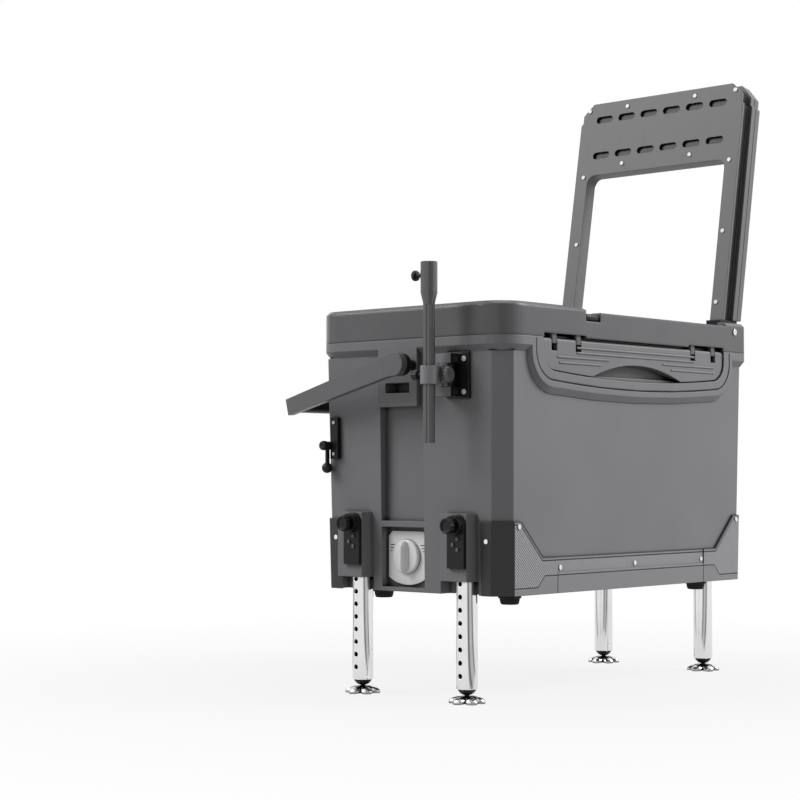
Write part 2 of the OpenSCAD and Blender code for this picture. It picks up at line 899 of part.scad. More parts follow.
module lock_housing_form() {
    upright_w = housing_w / 2;
    rotate([90, 0, -90]) linear_extrude(housing_t) {
        translate([-upright_w, housing_low - lock_z]) square([housing_w, lock_z - housing_low]);
        circle(upright_w);
    }
}

module lock_housings() {
    color(black) placed() both_ends() for (y = [leg_y_front, leg_y_back]) difference() {
        union() {
            translate([-boss_x, y, lock_z]) lock_housing_form();
            rod_x(lock_collar_r, [-boss_x - housing_t - lock_collar_t, -boss_x - housing_t], y, lock_z);
        }
        rod_x(lock_stem_r + run_gap, [-beyond, -boss_x + over], y, lock_z);
        for (s = lock_screws)
            rod_x(small_screw_r / 2 + fit, [-beyond, -boss_x + over], y - s[0], lock_z - s[1]);
    }
}

module fixing_screws() {
    color(chrome) placed() {
        both_ends() for (y = [leg_y_front, leg_y_back]) for (s = lock_screws) {
            x = boss_x + housing_t;
            rod_x(small_screw_r, [-x - small_screw_t, -x], y - s[0], lock_z - s[1]);
            rod_x(small_screw_r / 2, [-x, -boss_x], y - s[0], lock_z - s[1]);
        }
        for (side = [-1, 1]) {
            rod_x(bracket_screw_r, [-bracket_face - small_screw_t, -bracket_face], bracket_screw_y,
                  fork_mid_z + side * bracket_screw_out);
            rod_x(small_screw_r, [-rear_face - small_screw_t, -rear_face], rear_y,
                  side < 0 ? rear_low + rear_screw_in : rear_high - rear_screw_in);
        }
    }
}

// The drain valve: a fixed plate, a bush through the wall and a knob that turns
module drain_plate() {
    x = wall_x(wall_z) - drain_recess_deep;
    color(white) placed() difference() {
        translate([-x - fit, 0, 0]) rotate([90, 0, -90]) linear_extrude(drain_plate_t)
            translate([-drain_y, 0]) intersection() {
                translate([-drain_plate_w / 2, drain_plate_low])
                    square([drain_plate_w, drain_plate_high - drain_plate_low]);
                translate([0, drain_plate_low + drain_round])
                    circle(drain_round, $fn = 4 * hull_fn);
                polygon([
                    [-drain_plate_w / 2, 0], [drain_plate_w / 2, 0],
                    [drain_plate_w / 2, drain_plate_high - drain_plate_cut],
                    [drain_plate_w / 2 - drain_plate_cut, drain_plate_high],
                    [drain_plate_cut - drain_plate_w / 2, drain_plate_high],
                    [-drain_plate_w / 2, drain_plate_high - drain_plate_cut]
                ]);
            }
        rod_x(drain_bore_r + drain_wall + fit, [-half_l, 0], drain_y, drain_z);
    }
}
module drain_bush() {
    x_in = shell_wall + foam_wall + fit + liner_wall - wall_x(body_z);
    color(black) placed() difference() {
        union() {
            rod_x(drain_bore_r, [drain_recess_deep - wall_x(wall_z), x_in], drain_y, drain_z);
            rod_x(drain_bore_r + drain_wall - run_gap,
                  [drain_out_x, foam_wall + shell_wall - wall_x(drain_z)], drain_y, drain_z);
        }
        rod_x(drain_bore_r - drain_wall, [-half_l, over + x_in], drain_y, drain_z);
    }
}
module drain_knob() {
    x = drain_out_x - gap;
    color(white) placed() {
        rod_x(drain_knob_r, [x - drain_knob_t, x], drain_y, drain_z);
        intersection() {
            rod_x(drain_knob_r - fit, [x - drain_knob_t - drain_grip_t, x], drain_y, drain_z);
            block([x - drain_knob_t - drain_grip_t, x],
                  [drain_y - drain_grip_w / 2, drain_y + drain_grip_w / 2], [0, part_z]);
        }
        rod_x(drain_bore_r - drain_wall - run_gap, [x, x + drain_plate_t + foam_wall / 2],
              drain_y, drain_z);
    }
}

// Lid hinge: fixed brackets, lid leaves and pins
module hinge_bore(r) {
    for (x = [-hinge_x, hinge_x])
        rod_x(r, [x - hinge_w / 2 - over, x + hinge_w / 2 + over], barrel_y, part_z);
}

module lid_hinge_brackets() {
    color(black) placed() difference() {
        for (x = [-hinge_x, hinge_x]) {
            block([x - hinge_w / 2, x + hinge_w / 2], [half_d + fit, half_d + leaf_t],
                  [part_z - barrel_r - leaf_h, part_z - barrel_r]);
            for (side = [-1, 1]) {
                knuckle = x + side * (knuckle_w + gap) - knuckle_w / 2;
                rod_x(barrel_r - fit, [knuckle, knuckle + knuckle_w - gap], barrel_y, part_z);
                block([knuckle, knuckle + knuckle_w - gap], [half_d + fit, barrel_y],
                      [part_z - barrel_r - leaf_t, part_z]);
            }
        }
        hinge_bore(hinge_bolt_r + run_gap);
    }
}

module lid_hinge_leaves() {
    color(black) placed() difference() {
        for (x = [-hinge_x, hinge_x]) {
            block([x - hinge_w / 2, x + hinge_w / 2], [half_d + fit, half_d + leaf_t],
                  [part_z + barrel_r, part_z + barrel_r + leaf_h]);
            rod_x(barrel_r - fit, [x - knuckle_w / 2 + gap, x + knuckle_w / 2 - gap], barrel_y, part_z);
            block([x - knuckle_w / 2 + gap, x + knuckle_w / 2 - gap], [half_d + fit, barrel_y],
                  [part_z, part_z + barrel_r + leaf_t]);
        }
        hinge_bore(hinge_bolt_r + run_gap);
    }
}

module lid_hinge_pins() {
    color(chrome) placed() hinge_bore(hinge_bolt_r);
}

// Lid group

module rim_profile() {
    polygon([
        [rim_left - rim_slope, lid_top], [rim_left, rim_z], [rim_right, rim_z], [rim_right, lid_top + over],
        [rim_left - rim_slope, lid_top + over]
    ]);
}

module recess_form(grow) {
    block([pocket_end - grow, shelf_x + grow], [-pocket_half - grow, pocket_half + grow],
          [recess_z - grow, lid_top + beyond]);
    for (side = [0, 1]) mirror([0, side, 0])
        block([trough_x - grow, shelf_x + grow],
              [rest_w / 2 - rest_arm_w - island_gap - grow, pocket_half + grow],
              [trough_z - grow, lid_top + beyond]);
}

module latch_lugs() {
    for (side = [-1, 1]) for (slot = [slot_in, slot_out]) {
        near = front_mid_x + side * (slot[0] + lug_inset);
        far = front_mid_x + side * (slot[1] - lug_inset);
        block([min(near, far), max(near, far)],
              [-half_d + flap_face_in + fit, -half_d + flap_face_in + flap_t],
              [part_z - lug_drop, part_z + lid_notch_h + over]);
    }
}

module latch_notches() {
    for (side = [-1, 1]) {
        near = front_mid_x + side * (slot_in[0] - lid_notch_spare);
        far = front_mid_x + side * flap_l / 2;
        block([min(near, far), max(near, far)],
              [-half_d - over, -half_d + flap_face_in + flap_t + flap_gap],
              [part_z, part_z + lid_notch_h]);
    }
    block([front_mid_x - flap_l / 2, front_mid_x + flap_l / 2],
          [-half_d - over, -half_d + flap_face_in + flap_t + flap_gap],
          [part_z, part_z + lid_notch_mid_h]);
}

module lid_shell() {
    color(lid_grey) placed() difference() {
        union() {
            difference() {
                union() {
                    difference() {
                        hull() {
                            translate([0, 0, lid_z]) linear_extrude(lid_top - lid_bevel - lid_z)
                                lid_plan($fn = hull_fn);
                            translate([0, 0, lid_z]) linear_extrude(lid_top - lid_z)
                                lid_plan(lid_bevel, $fn = hull_fn);
                        }
                        translate([0, 0, lid_z - over])
                            linear_extrude(recess_z - floor_t - lid_z + over) lid_plan(lid_wall);
                        block([lid_r_left - half_l, pocket_end - lid_wall],
                              [lid_r_left - half_d, half_d - lid_r_left],
                              [lid_z, lid_top - lid_wall]);
                    }
                    intersection() {
                        recess_form(floor_t);
                        translate([0, 0, lid_z]) linear_extrude(lid_h) lid_plan(lid_wall / 2);
                    }
                }
                upright([-beyond, beyond]) rim_profile();
                recess_form(0);
                latch_notches();
                catch_notch_pocket();
            }
            block(island_x, [-island_y, island_y], [recess_z - floor_t / 2, island_z]);
            latch_lugs();
        }
        for (side = [-1, 1])
            rod_y(pivot_r + run_gap, pivot_x,
                  side < 0 ? [-beyond, over - pocket_half] : [pocket_half - over, beyond], pivot_z);
        latch_bores(hinge_pin_r + run_gap);
    }
}

module catch_notch_pocket() {
    block([catch_x - catch_w / 2 - gap, catch_x + catch_w / 2 + gap],
          [-half_d - over, over - pocket_half], [catch_z - gap, lid_top + over]);
}

module latch_bores(r) {
    for (side = [-1, 1]) {
        near = front_mid_x + side * (slot_in[0] + lug_inset / 2);
        far = front_mid_x + side * (slot_out[1] - lug_inset / 2);
        rod_x(r, [min(near, far), max(near, far)], latch_axis_y, latch_axis_z);
    }
}

module latch_hinge_pins() {
    color(chrome) placed() latch_bores(hinge_pin_r);
}

module lid_liner() {
    color(white) placed() {
        translate([0, 0, lid_z]) linear_extrude(liner_flange) difference() {
            lid_plan(lid_wall + fit);
            translate([front_mid_x - flap_l / 2, -half_d])
                square([flap_l, flap_face_in + flap_t + flap_gap + fit]);
        }
        drafted(-shell_wall - foam_wall - liner_wall - plug_gap, part_z - plug_h, lid_z);
    }
}

module lid_gasket() {
    inset = shell_wall + foam_wall + liner_wall - gasket_w / 2;
    color(dark) placed() difference() {
        drafted(-inset, part_z - gasket_t, lid_z);
        drafted(-inset - gasket_w / 2 - plug_gap + gap, part_z - gasket_t - over, lid_z + over);
    }
}

module seat_mat() {
    color(dark) placed() block(island_x + [fit, -fit], [fit - island_y, island_y - fit],
                               [island_z, island_z + mat_t]);
}

module backrest_pivot_screws() {
    color(chrome) placed() for (side = [0, 1]) mirror([0, side, 0]) {
        rod_y(pivot_r, pivot_x, [rest_w / 2 - rest_arm_w + over, half_d], pivot_z);
        rod_y(pivot_head_r, pivot_x, [half_d, half_d + pivot_head_t], pivot_z);
    }
}

module latch_flap() {
    y_face = -half_d + flap_face_in;
    color(shell_grey) placed() difference() {
        union() {
            upright([y_face, y_face + flap_t]) flap_outline(0, latch_axis_z);
            rod_x(hinge_r, [front_mid_x - flap_l / 2, front_mid_x + flap_l / 2], latch_axis_y, latch_axis_z);
        }
        for (side = [-1, 1]) for (slot = [slot_in, slot_out]) {
            near = front_mid_x + side * slot[0];
            far = front_mid_x + side * slot[1];
            block([min(near, far), max(near, far)], [y_face - over, y_face + flap_t + over],
                  [part_z - hinge_slot_h, part_z + over]);
        }
        for (side = [-1, 1]) {
            near = front_mid_x + side * slot_in[0];
            far = front_mid_x + side * slot_out[1];
            rod_x(hinge_pin_r + run_gap, [min(near, far), max(near, far)], latch_axis_y, latch_axis_z);
        }
        scoop([y_face - over, y_face + flap_t + over]);
    }
}

module backrest_catch() {
    color(black) placed() block([catch_x - catch_w / 2, catch_x + catch_w / 2],
                                [-half_d + fit, catch_t - half_d], [catch_z, catch_z + catch_h]);
}

// Backrest group, drawn upright about its pivot and leaned back

module leaned() {
    difference() {
        translate([pivot_x, 0, pivot_z]) rotate([0, lean, 0]) children();
        block([0, beyond], [-beyond, beyond], [0, rest_foot_z]);
    }
}

// The frame's outline in width and height, moved inwards, without its window
module rest_outline(inward) {
    half = rest_w / 2 - inward;
    top = rest_h - inward;
    polygon([
        [-half, 0], [half, 0], [half, shoulder_z],
        [half - shoulder_in, shoulder_z + shoulder_in],
        [half - shoulder_in, rest_h - corner_cut], [half - corner_cut - shoulder_in, top],
        [shoulder_in + corner_cut - half, top], [shoulder_in - half, rest_h - corner_cut],
        [shoulder_in - half, shoulder_z + shoulder_in], [-half, shoulder_z]
    ]);
}

module rest_window(outward) {
    half = rest_w / 2 - rest_arm_w + outward;
    top = rest_h - rest_panel_h + outward;
    r = window_r + outward;
    translate([-half, -rest_h]) square([2 * half, rest_h + top - r]);
    translate([r - half, -rest_h]) square([2 * (half - r), rest_h + top]);
    for (side = [-1, 1]) translate([side * (half - r), top - r]) circle(r);
}

// A layer of the frame between two depths behind the front face
module rest_layer(depths) {
    translate([depths[0] - rest_face, 0, 0]) rotate([90, 0, 90])
        linear_extrude(depths[1] - depths[0]) children();
}

module slot_shape() {
    translate([-(slot_l - slot_h) / 2, -slot_h / 2]) square([slot_l - slot_h, slot_h]);
    for (side = [-1, 1]) translate([side * (slot_l - slot_h) / 2, 0]) circle(slot_h / 2);
}

module backrest_front_plate() {
    color(plate_grey) placed() leaned() rest_layer([0, front_plate_t]) difference() {
        rest_outline(0);
        rest_window(0);
        for (drop = slot_drops) for (i = [0 : slot_count - 1])
            translate([(i - (slot_count - 1) / 2) * slot_pitch, rest_h - drop]) slot_shape();
        for (s = rest_screws) for (side = [-1, 1])
            translate([side * s[0], s[1]]) circle(small_screw_r / 2 + fit);
    }
}

module backrest_core() {
    color(black) placed() leaned() rest_layer([front_plate_t, front_plate_t + core_t]) difference() {
        rest_outline(core_in);
        rest_window(window_rim + fit);
        for (s = rest_screws) for (side = [-1, 1])
            translate([side * s[0], s[1]]) circle(small_screw_r / 2 + fit);
    }
}

// A layer of the rear shell's outer wall, which stands behind the arms' outer edges
module rear_wall(depths, flare) {
    rest_layer(depths) difference() {
        rest_outline(-flare);
        rest_window(rear_set);
    }
}

module backrest_rear_shell() {
    low = front_plate_t + core_t;
    seam = low + rear_skin + seam_at;
    color(plate_grey) placed() leaned() {
        rest_layer([low, low + rear_skin]) difference() {
            rest_outline(core_in);
            rest_window(0);
        }
        rear_wall([low + rear_skin, seam], rear_flare);
        rear_wall([seam, seam + seam_w], rear_flare - seam_w);
        rear_wall([seam + seam_w, rest_t], rear_flare);
        rest_layer([front_plate_t, front_plate_t + core_t]) difference() {
            intersection() {
                rest_window(window_rim);
                rest_outline(core_in);
            }
            rest_window(0);
        }
    }
}

module backrest_screws() {
    color(chrome) placed() leaned() for (s = rest_screws) for (side = [-1, 1])
        translate([-rest_face, side * s[0], s[1]]) rotate([0, 90, 0]) {
            translate([0, 0, -screw_t]) cylinder(r = screw_r, h = screw_t);
            cylinder(r = small_screw_r / 2, h = front_plate_t + core_t / 2);
        }
}

module backrest_lugs() {
    face = pivot_x - rest_face;
    back = pivot_x + (rest_t - rest_face) / cos(lean) - core_in;
    color(black) placed() for (side = [0, 1]) mirror([0, side, 0]) difference() {
        union() {
            block([face + core_in / 2, back], [rest_w / 2 - rest_arm_w, rest_w / 2],
                  [lid_top + lug_foot, rest_foot_z]);
            block([pivot_x - lug_r, pivot_x + lug_r], [rest_w / 2 - rest_arm_w, rest_w / 2],
                  [pivot_z, rest_foot_z]);
            rod_y(lug_r, pivot_x, [rest_w / 2 - rest_arm_w, rest_w / 2], pivot_z);
        }
        rod_y(pivot_r + run_gap, pivot_x, [0, half_d], pivot_z);
    }
}

// Bail group

module bail_hubs() {
    color(black) placed() both_ends() difference() {
        union() {
            rod_x(hub_boss_r, [-bail_x + bail_arm_t + gap, -half_l - fit], bail_y, bail_z);
            rod_x(hub_flange_r, [-bail_x + bail_arm_t + gap, -bail_x + bail_arm_t + hub_flange_t],
                  bail_y, bail_z);
        }
        rod_x(bail_pin_r + run_gap, [-bail_x, 0], bail_y, bail_z);
    }
}

module bail_pivot_pins() {
    color(chrome) placed() both_ends()
        rod_x(bail_pin_r, [-bail_x + bail_arm_t - bail_bore_deep, shell_wall - half_l], bail_y, bail_z);
}

// A bar's side view that narrows from one half width to another
module arm_side(ends, halves) {
    polygon([
        [ends[0], halves[0]], [ends[0], -halves[0]], [ends[1], -halves[1]], [ends[1], halves[1]]
    ]);
}

// One arm: an eye at the pivot, a straight neck, and a bar turned in by the toe angle
module bail_arm() {
    difference() {
        translate([-bail_x, bail_y, bail_z]) rotate([-bail_drop, 0, 0]) {
            rotate([0, 90, 0]) cylinder(d = bail_eye_d, h = bail_arm_t);
            rotate([90, 0, 90]) linear_extrude(bail_arm_t)
                arm_side([0, bail_neck], [bail_eye_d / 2 - over, bail_neck_w / 2]);
            translate([0, bail_neck, 0]) rotate([0, 0, -bail_toe]) rotate([90, 0, 90])
                linear_extrude(bail_arm_t)
                    arm_side([-over, bail_reach - bail_neck + bail_tip_w / 2],
                             [bail_neck_w / 2, bail_tip_w / 2]);
        }
        translate([bail_arm_t - bail_bore_deep - gap, 0, 0])
            rod_x(bail_pin_r + run_gap, [-bail_x, half_l - bail_x], bail_y, bail_z);
        bail_bar(bail_tenon_r + fit, bail_bar_end + bail_arm_t / 2);
    }
}

// A bar along X at the bail's far end
module bail_bar(r, outer) {
    translate([0, bail_y, bail_z]) rotate([-bail_drop, 0, 0]) translate([0, bail_reach, 0])
        rotate([0, 90, 0]) translate([0, 0, -outer]) cylinder(r = r, h = outer + outer);
}

module bail_arm_left() {
    color(dark) placed() bail_arm();
}

module bail_arm_right() {
    color(dark) placed() mirror([1, 0, 0]) bail_arm();
}

module bail_crossbar() {
    color(black) placed() {
        bail_bar(bail_bar_r, bail_bar_end - gap);
        bail_bar(bail_tenon_r, bail_bar_end + bail_arm_t / 2 - gap);
    }
}

// Leg group, one of each for every leg

module leg_tube(leg) {
    x = leg[0] * leg_x;
    color(chrome) placed() difference() {
        rod_z(leg_r, x, leg[1], [leg_low, leg_top]);
        rod_z(leg_r - leg_wall, x, leg[1], [leg_low - over, leg_top + over]);
        for (i = [0 : hole_count - 1])
            rod_x(hole_d / 2, leg[0] < 0 ? [-beyond, x] : [x, beyond], leg[1], first_hole + i * hole_pitch);
    }
}

module leg_cap(leg) {
    x = leg[0] * leg_x;
    color(black) placed() difference() {
        union() {
            rod_z(cap_r, x, leg[1], [cap_low, leg_low]);
            rod_z(leg_r - leg_wall - fit, x, leg[1], [leg_low, leg_low + 2 * ball_r]);
        }
        translate([x, leg[1], ball_z]) sphere(ball_r + ball_gap, $fn = ball_fn);
    }
}

module claw_foot(leg) {
    root = claw_d / 2 * claw_root_share;
    color(chrome) placed() translate([leg[0] * leg_x, leg[1], 0]) {
        translate([0, 0, claw_plate_low]) linear_extrude(claw_plate_t) polygon([
            for (i = [0 : 2 * claw_points - 1])
                let (r = i % 2 == 0 ? claw_d / 2 : root, turn = i * 180 / claw_points)
                    [r * cos(turn), r * sin(turn)]
        ]);
        cylinder(r = claw_hub_r, h = claw_plate_low + claw_plate_t + claw_hub_t);
        for (i = [0 : claw_points - 1]) rotate([0, 0, i * 360 / claw_points])
            translate([claw_d / 2 - claw_tip_r, 0, 0])
                cylinder(r1 = claw_tip_r / 2, r2 = claw_tip_r * claw_tip_share,
                         h = claw_plate_low + claw_plate_t / 2);
        cylinder(r = stem_r, h = ball_z);
        translate([0, 0, ball_z]) sphere(ball_r, $fn = ball_fn);
    }
}

module lock_pin(leg) {
    face = boss_x + housing_t + lock_collar_t + gap;
    nose = leg_x + leg_r + gap;
    color(black) placed() mirror([leg[0] > 0 ? 1 : 0, 0, 0]) {
        rod_x(lock_nose_r, [-boss_x, -nose], leg[1], lock_z);
        rod_x(lock_stem_r, [-face - lock_neck, -boss_x], leg[1], lock_z);
        rod_x(lock_head_r, [-face - lock_neck - lock_head_t, -face - lock_neck], leg[1], lock_z);
    }
}

// Front bracket, swivel and pole

module bracket_base() {
    color(black) placed() difference() {
        union() {
            block([-bracket_face, -wall_x(bracket_high) + shell_wall],
                  [bracket_y - bracket_w / 2, bracket_y + bracket_w / 2], [bracket_low, bracket_high]);
            for (side = [-1, 1]) {
                z = fork_mid_z + side * (fork_open + fork_t) / 2;
                block([-fork_x, -bracket_face + over], [fork_y - fork_w / 2, fork_y + fork_w / 2],
                      [z - fork_t / 2, z + fork_t / 2]);
            }
        }
        drafted(fit, body_z, wall_z);
        rod_z(clevis_r + run_gap, -swivel_x, fork_y, [bracket_low - over, bracket_high + over]);
    }
}

module bracket_clevis_pin() {
    color(chrome) placed() rod_z(clevis_r, -swivel_x, fork_y,
        [fork_mid_z - fork_open / 2 - fork_t, fork_mid_z + fork_open / 2 + fork_t]);
}

module bracket_swivel() {
    half = fork_open / 2 - gap;
    color(black) placed() difference() {
        union() {
            rod_z(swivel_r, -swivel_x, fork_y, [fork_mid_z - half, fork_mid_z + half]);
            rod_x(swivel_body_r, [-pole_x + ring_r, -swivel_x], fork_y, fork_mid_z);
            rod_z(ring_r, -pole_x, pole_y, [ring_low, ring_high]);
            block([-pole_x, -pole_x + ring_r + over], [pole_y - swivel_neck_w, pole_y + swivel_neck_w],
                  [ring_low, ring_high]);
        }
        rod_z(clevis_r + run_gap, -swivel_x, fork_y, [0, lid_top]);
        rod_z(pole_d / 2 + run_gap, -pole_x, pole_y, [0, lid_top]);
        rod_y(clamp_stem_r + run_gap, -pole_x, [pole_y, pole_y + beyond], fork_mid_z);
    }
}

module swivel_knob() {
    y = fork_y - swivel_body_r - gap;
    color(dark) placed()
        rod_y(swivel_cap_r, -fork_x - swivel_cap_t, [y - swivel_cap_t, y], fork_mid_z);
}

module pole_clamp_screw() {
    color(black) placed() {
        rod_y(clamp_stem_r, -pole_x, [pole_y + pole_d / 2 + gap, pole_y + clamp_reach], fork_mid_z);
        rod_y(clamp_r, -pole_x, [pole_y + clamp_reach, pole_y + clamp_reach + clamp_t], fork_mid_z);
    }
}

module holder_pole() {
    top = pole_low + pole_l;
    color(dark) placed() difference() {
        union() {
            rod_z(pole_d / 2, -pole_x, pole_y, [pole_low, top - socket_l]);
            rod_z(socket_d / 2, -pole_x, pole_y, [top - socket_l, top]);
            translate([-pole_x, pole_y, top - socket_l - socket_taper])
                cylinder(r1 = pole_d / 2, r2 = socket_d / 2, h = socket_taper);
        }
        rod_z(socket_d / 2 - socket_wall, -pole_x, pole_y, [top - socket_l, top + over]);
        rod_y(thumb_stem_r + run_gap, -pole_x, [pole_y, pole_y + beyond], top - thumb_drop);
    }
}

module pole_thumb_screw() {
    z = pole_low + pole_l - thumb_drop;
    color(black) placed() {
        rod_y(thumb_stem_r, -pole_x, [pole_y + socket_d / 2 - socket_wall + gap, pole_y + thumb_reach], z);
        rod_y(thumb_r, -pole_x, [pole_y + thumb_reach, pole_y + thumb_reach + thumb_t], z);
    }
}

// Rear bracket with its short swinging arm

module rear_bracket_plate() {
    color(black) placed() difference() {
        union() {
            block([-rear_face, -wall_x(rear_high) + shell_wall],
                  [rear_y - rear_w / 2, rear_y + rear_w / 2], [rear_low, rear_high]);
            rod_x(rear_arm_r, [-rear_face, -wall_x(rear_low) - fit], rear_pivot_y, rear_pivot_z);
        }
        drafted(fit, body_z, wall_z);
        rod_x(rear_pin_r + run_gap, [-rear_face - over, 0], rear_pivot_y, rear_pivot_z);
    }
}

module rear_bracket_arm() {
    x = -rear_face - gap;
    color(black) placed() difference() {
        union() {
            rod_x(rear_arm_r, [x - rear_arm_t, x], rear_pivot_y, rear_pivot_z);
            block([x - rear_arm_t, x], [rear_ball_y - rear_pin_r, rear_pivot_y + rear_pin_r],
                  [rear_pivot_z - rear_ball_drop, rear_pivot_z]);
            translate([x - rear_arm_t / 2, rear_ball_y, rear_pivot_z - rear_ball_drop])
                sphere(rear_ball_r, $fn = ball_fn);
        }
        rod_x(rear_pin_r + run_gap, [x - rear_arm_t - over, x + over], rear_pivot_y, rear_pivot_z);
        drafted(gap, body_z, wall_z);
    }
}

module rear_bracket_knob() {
    x = -rear_face - 2 * gap - rear_arm_t;
    color(dark) placed() {
        rod_x(rear_knob_r, [x - rear_knob_t, x], rear_pivot_y, rear_pivot_z);
        rod_x(rear_pin_r, [x, -rear_face + rear_plate_t / 2], rear_pivot_y, rear_pivot_z);
    }
}

outer_shell();
foam_core();
inner_liner();
corner_guards();
trim_strips();
guard_screws();
rubber_feet();
leg_sleeves();
lock_housings();
fixing_screws();
drain_plate();
drain_bush();
bail_hubs();
bail_pivot_pins();
lid_hinge_brackets();
bracket_base();
bracket_clevis_pin();
rear_bracket_plate();
lid_shell();
lid_liner();
lid_gasket();
lid_hinge_leaves();
lid_hinge_pins();
latch_hinge_pins();
seat_mat();
backrest_pivot_screws();
latch_flap();
backrest_catch();
backrest_front_plate();
backrest_core();
backrest_rear_shell();
backrest_screws();
backrest_lugs();
bail_arm_left();
bail_arm_right();
bail_crossbar();
leg_tube(LEGS[0]);  // leg_tube_fl
leg_tube(LEGS[1]);  // leg_tube_bl
leg_tube(LEGS[2]);  // leg_tube_fr
leg_tube(LEGS[3]);  // leg_tube_br
leg_cap(LEGS[0]);  // leg_cap_fl
leg_cap(LEGS[1]);  // leg_cap_bl
leg_cap(LEGS[2]);  // leg_cap_fr
leg_cap(LEGS[3]);  // leg_cap_br
claw_foot(LEGS[0]);  // claw_foot_fl
claw_foot(LEGS[1]);  // claw_foot_bl
claw_foot(LEGS[2]);  // claw_foot_fr
claw_foot(LEGS[3]);  // claw_foot_br
lock_pin(LEGS[0]);  // lock_pin_fl
lock_pin(LEGS[1]);  // lock_pin_bl
lock_pin(LEGS[2]);  // lock_pin_fr
lock_pin(LEGS[3]);  // lock_pin_br
drain_knob();
bracket_swivel();
swivel_knob();
pole_clamp_screw();
holder_pole();
pole_thumb_screw();
rear_bracket_arm();
rear_bracket_knob();
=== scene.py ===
"""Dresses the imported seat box: finishes for its CAD nodes, finer pieces, a studio and a camera."""

import math

import bmesh
import bpy
import numpy as np
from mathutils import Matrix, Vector


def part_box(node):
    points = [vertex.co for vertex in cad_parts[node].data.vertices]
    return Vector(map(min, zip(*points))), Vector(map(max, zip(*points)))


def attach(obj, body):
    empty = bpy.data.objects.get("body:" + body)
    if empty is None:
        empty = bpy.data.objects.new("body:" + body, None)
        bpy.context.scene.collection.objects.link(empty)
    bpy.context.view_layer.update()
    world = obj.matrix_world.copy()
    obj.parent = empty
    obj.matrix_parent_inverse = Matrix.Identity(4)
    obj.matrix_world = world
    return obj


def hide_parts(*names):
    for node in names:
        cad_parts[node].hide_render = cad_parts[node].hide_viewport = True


bl_info = {
    "name": "Fishing seat box",
    "version": (1, 0, 0),
    "blender": (4, 5, 0),
    "location": "View3D > Sidebar > Seat Box",
    "description": "Finishes and fine pieces for a fishing seat box with a folding backrest",
    "category": "Object",
}

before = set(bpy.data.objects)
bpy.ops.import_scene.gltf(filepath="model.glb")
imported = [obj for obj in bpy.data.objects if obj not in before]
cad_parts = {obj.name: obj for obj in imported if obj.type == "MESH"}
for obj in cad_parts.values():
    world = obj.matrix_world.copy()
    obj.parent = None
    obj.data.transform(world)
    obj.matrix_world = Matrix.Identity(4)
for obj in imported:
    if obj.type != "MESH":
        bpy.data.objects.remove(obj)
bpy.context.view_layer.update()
LEGS = ("fl", "bl", "fr", "br")
MM = 0.001
FINISHES = {}


# Shader maths


class Value:
    """A number that changes over a surface. Sums and products of values add Math nodes."""

    def __init__(self, shading, socket):
        self.shading = shading
        self.socket = socket

    def joined(self, operation, other, swapped=False):
        """This value and another one, or a number, through one Math node."""
        pair = (other, self) if swapped else (self, other)
        settings = {"operation": operation}
        return self.shading.node("ShaderNodeMath", settings, {0: pair[0], 1: pair[1]})

    def __add__(self, other):
        return self.joined("ADD", other)

    def __radd__(self, other):
        return self.joined("ADD", other, True)

    def __sub__(self, other):
        return self.joined("SUBTRACT", other)

    def __rsub__(self, other):
        return self.joined("SUBTRACT", other, True)

    def __mul__(self, other):
        return self.joined("MULTIPLY", other)

    def __rmul__(self, other):
        return self.joined("MULTIPLY", other, True)

    def __truediv__(self, other):
        return self.joined("DIVIDE", other)

    def __gt__(self, other):
        return self.joined("GREATER_THAN", other)

    def __lt__(self, other):
        return self.joined("LESS_THAN", other)

    def __mod__(self, other):
        return self.joined("FLOORED_MODULO", other)

    def __abs__(self):
        return self.shading.maths("ABSOLUTE", self)


class Shading:
    """A node tree under construction, with short ways to add nodes and join their sockets."""

    def __init__(self, tree):
        self.tree = tree

    def node(self, kind, settings=None, inputs=None, output=0):
        """Adds a node, sets it up, then gives its sockets their values or links."""
        made = self.tree.nodes.new(kind)
        for key, value in (settings or {}).items():
            setattr(made, key, value)
        for key, value in (inputs or {}).items():
            self.feed(made.inputs[key], value)
        return Value(self, made.outputs[output])

    def feed(self, socket, value):
        """Links a Value to a socket, or sets the socket's own number or colour."""
        if isinstance(value, Value):
            self.tree.links.new(value.socket, socket)
        else:
            socket.default_value = value

    def parts(self, vector):
        """A vector's three coordinates as values."""
        split = self.node("ShaderNodeSeparateXYZ", None, {0: vector})
        return [Value(self, split.socket.node.outputs[i]) for i in range(3)]

    def maths(self, operation, first, second=0.0):
        """The result of one named Math operation."""
        return self.node("ShaderNodeMath", {"operation": operation}, {0: first, 1: second})

    def ramp(self, value, low, high):
        """Maps a value from the band low to high onto 0 to 1, and holds it there."""
        return self.node(
            "ShaderNodeMapRange", {"clamp": True}, {"Value": value, 1: low, 2: high}
        )

    def seen(self):
        """1 where the camera, a reflection or glass looks at this place, and 0 for its light."""
        rays = self.node("ShaderNodeLightPath").socket.node.outputs
        seen = Value(self, rays["Is Camera Ray"])
        for kind in ("Is Glossy Ray", "Is Transmission Ray"):
            seen = self.maths("MAXIMUM", seen, Value(self, rays[kind]))
        return seen


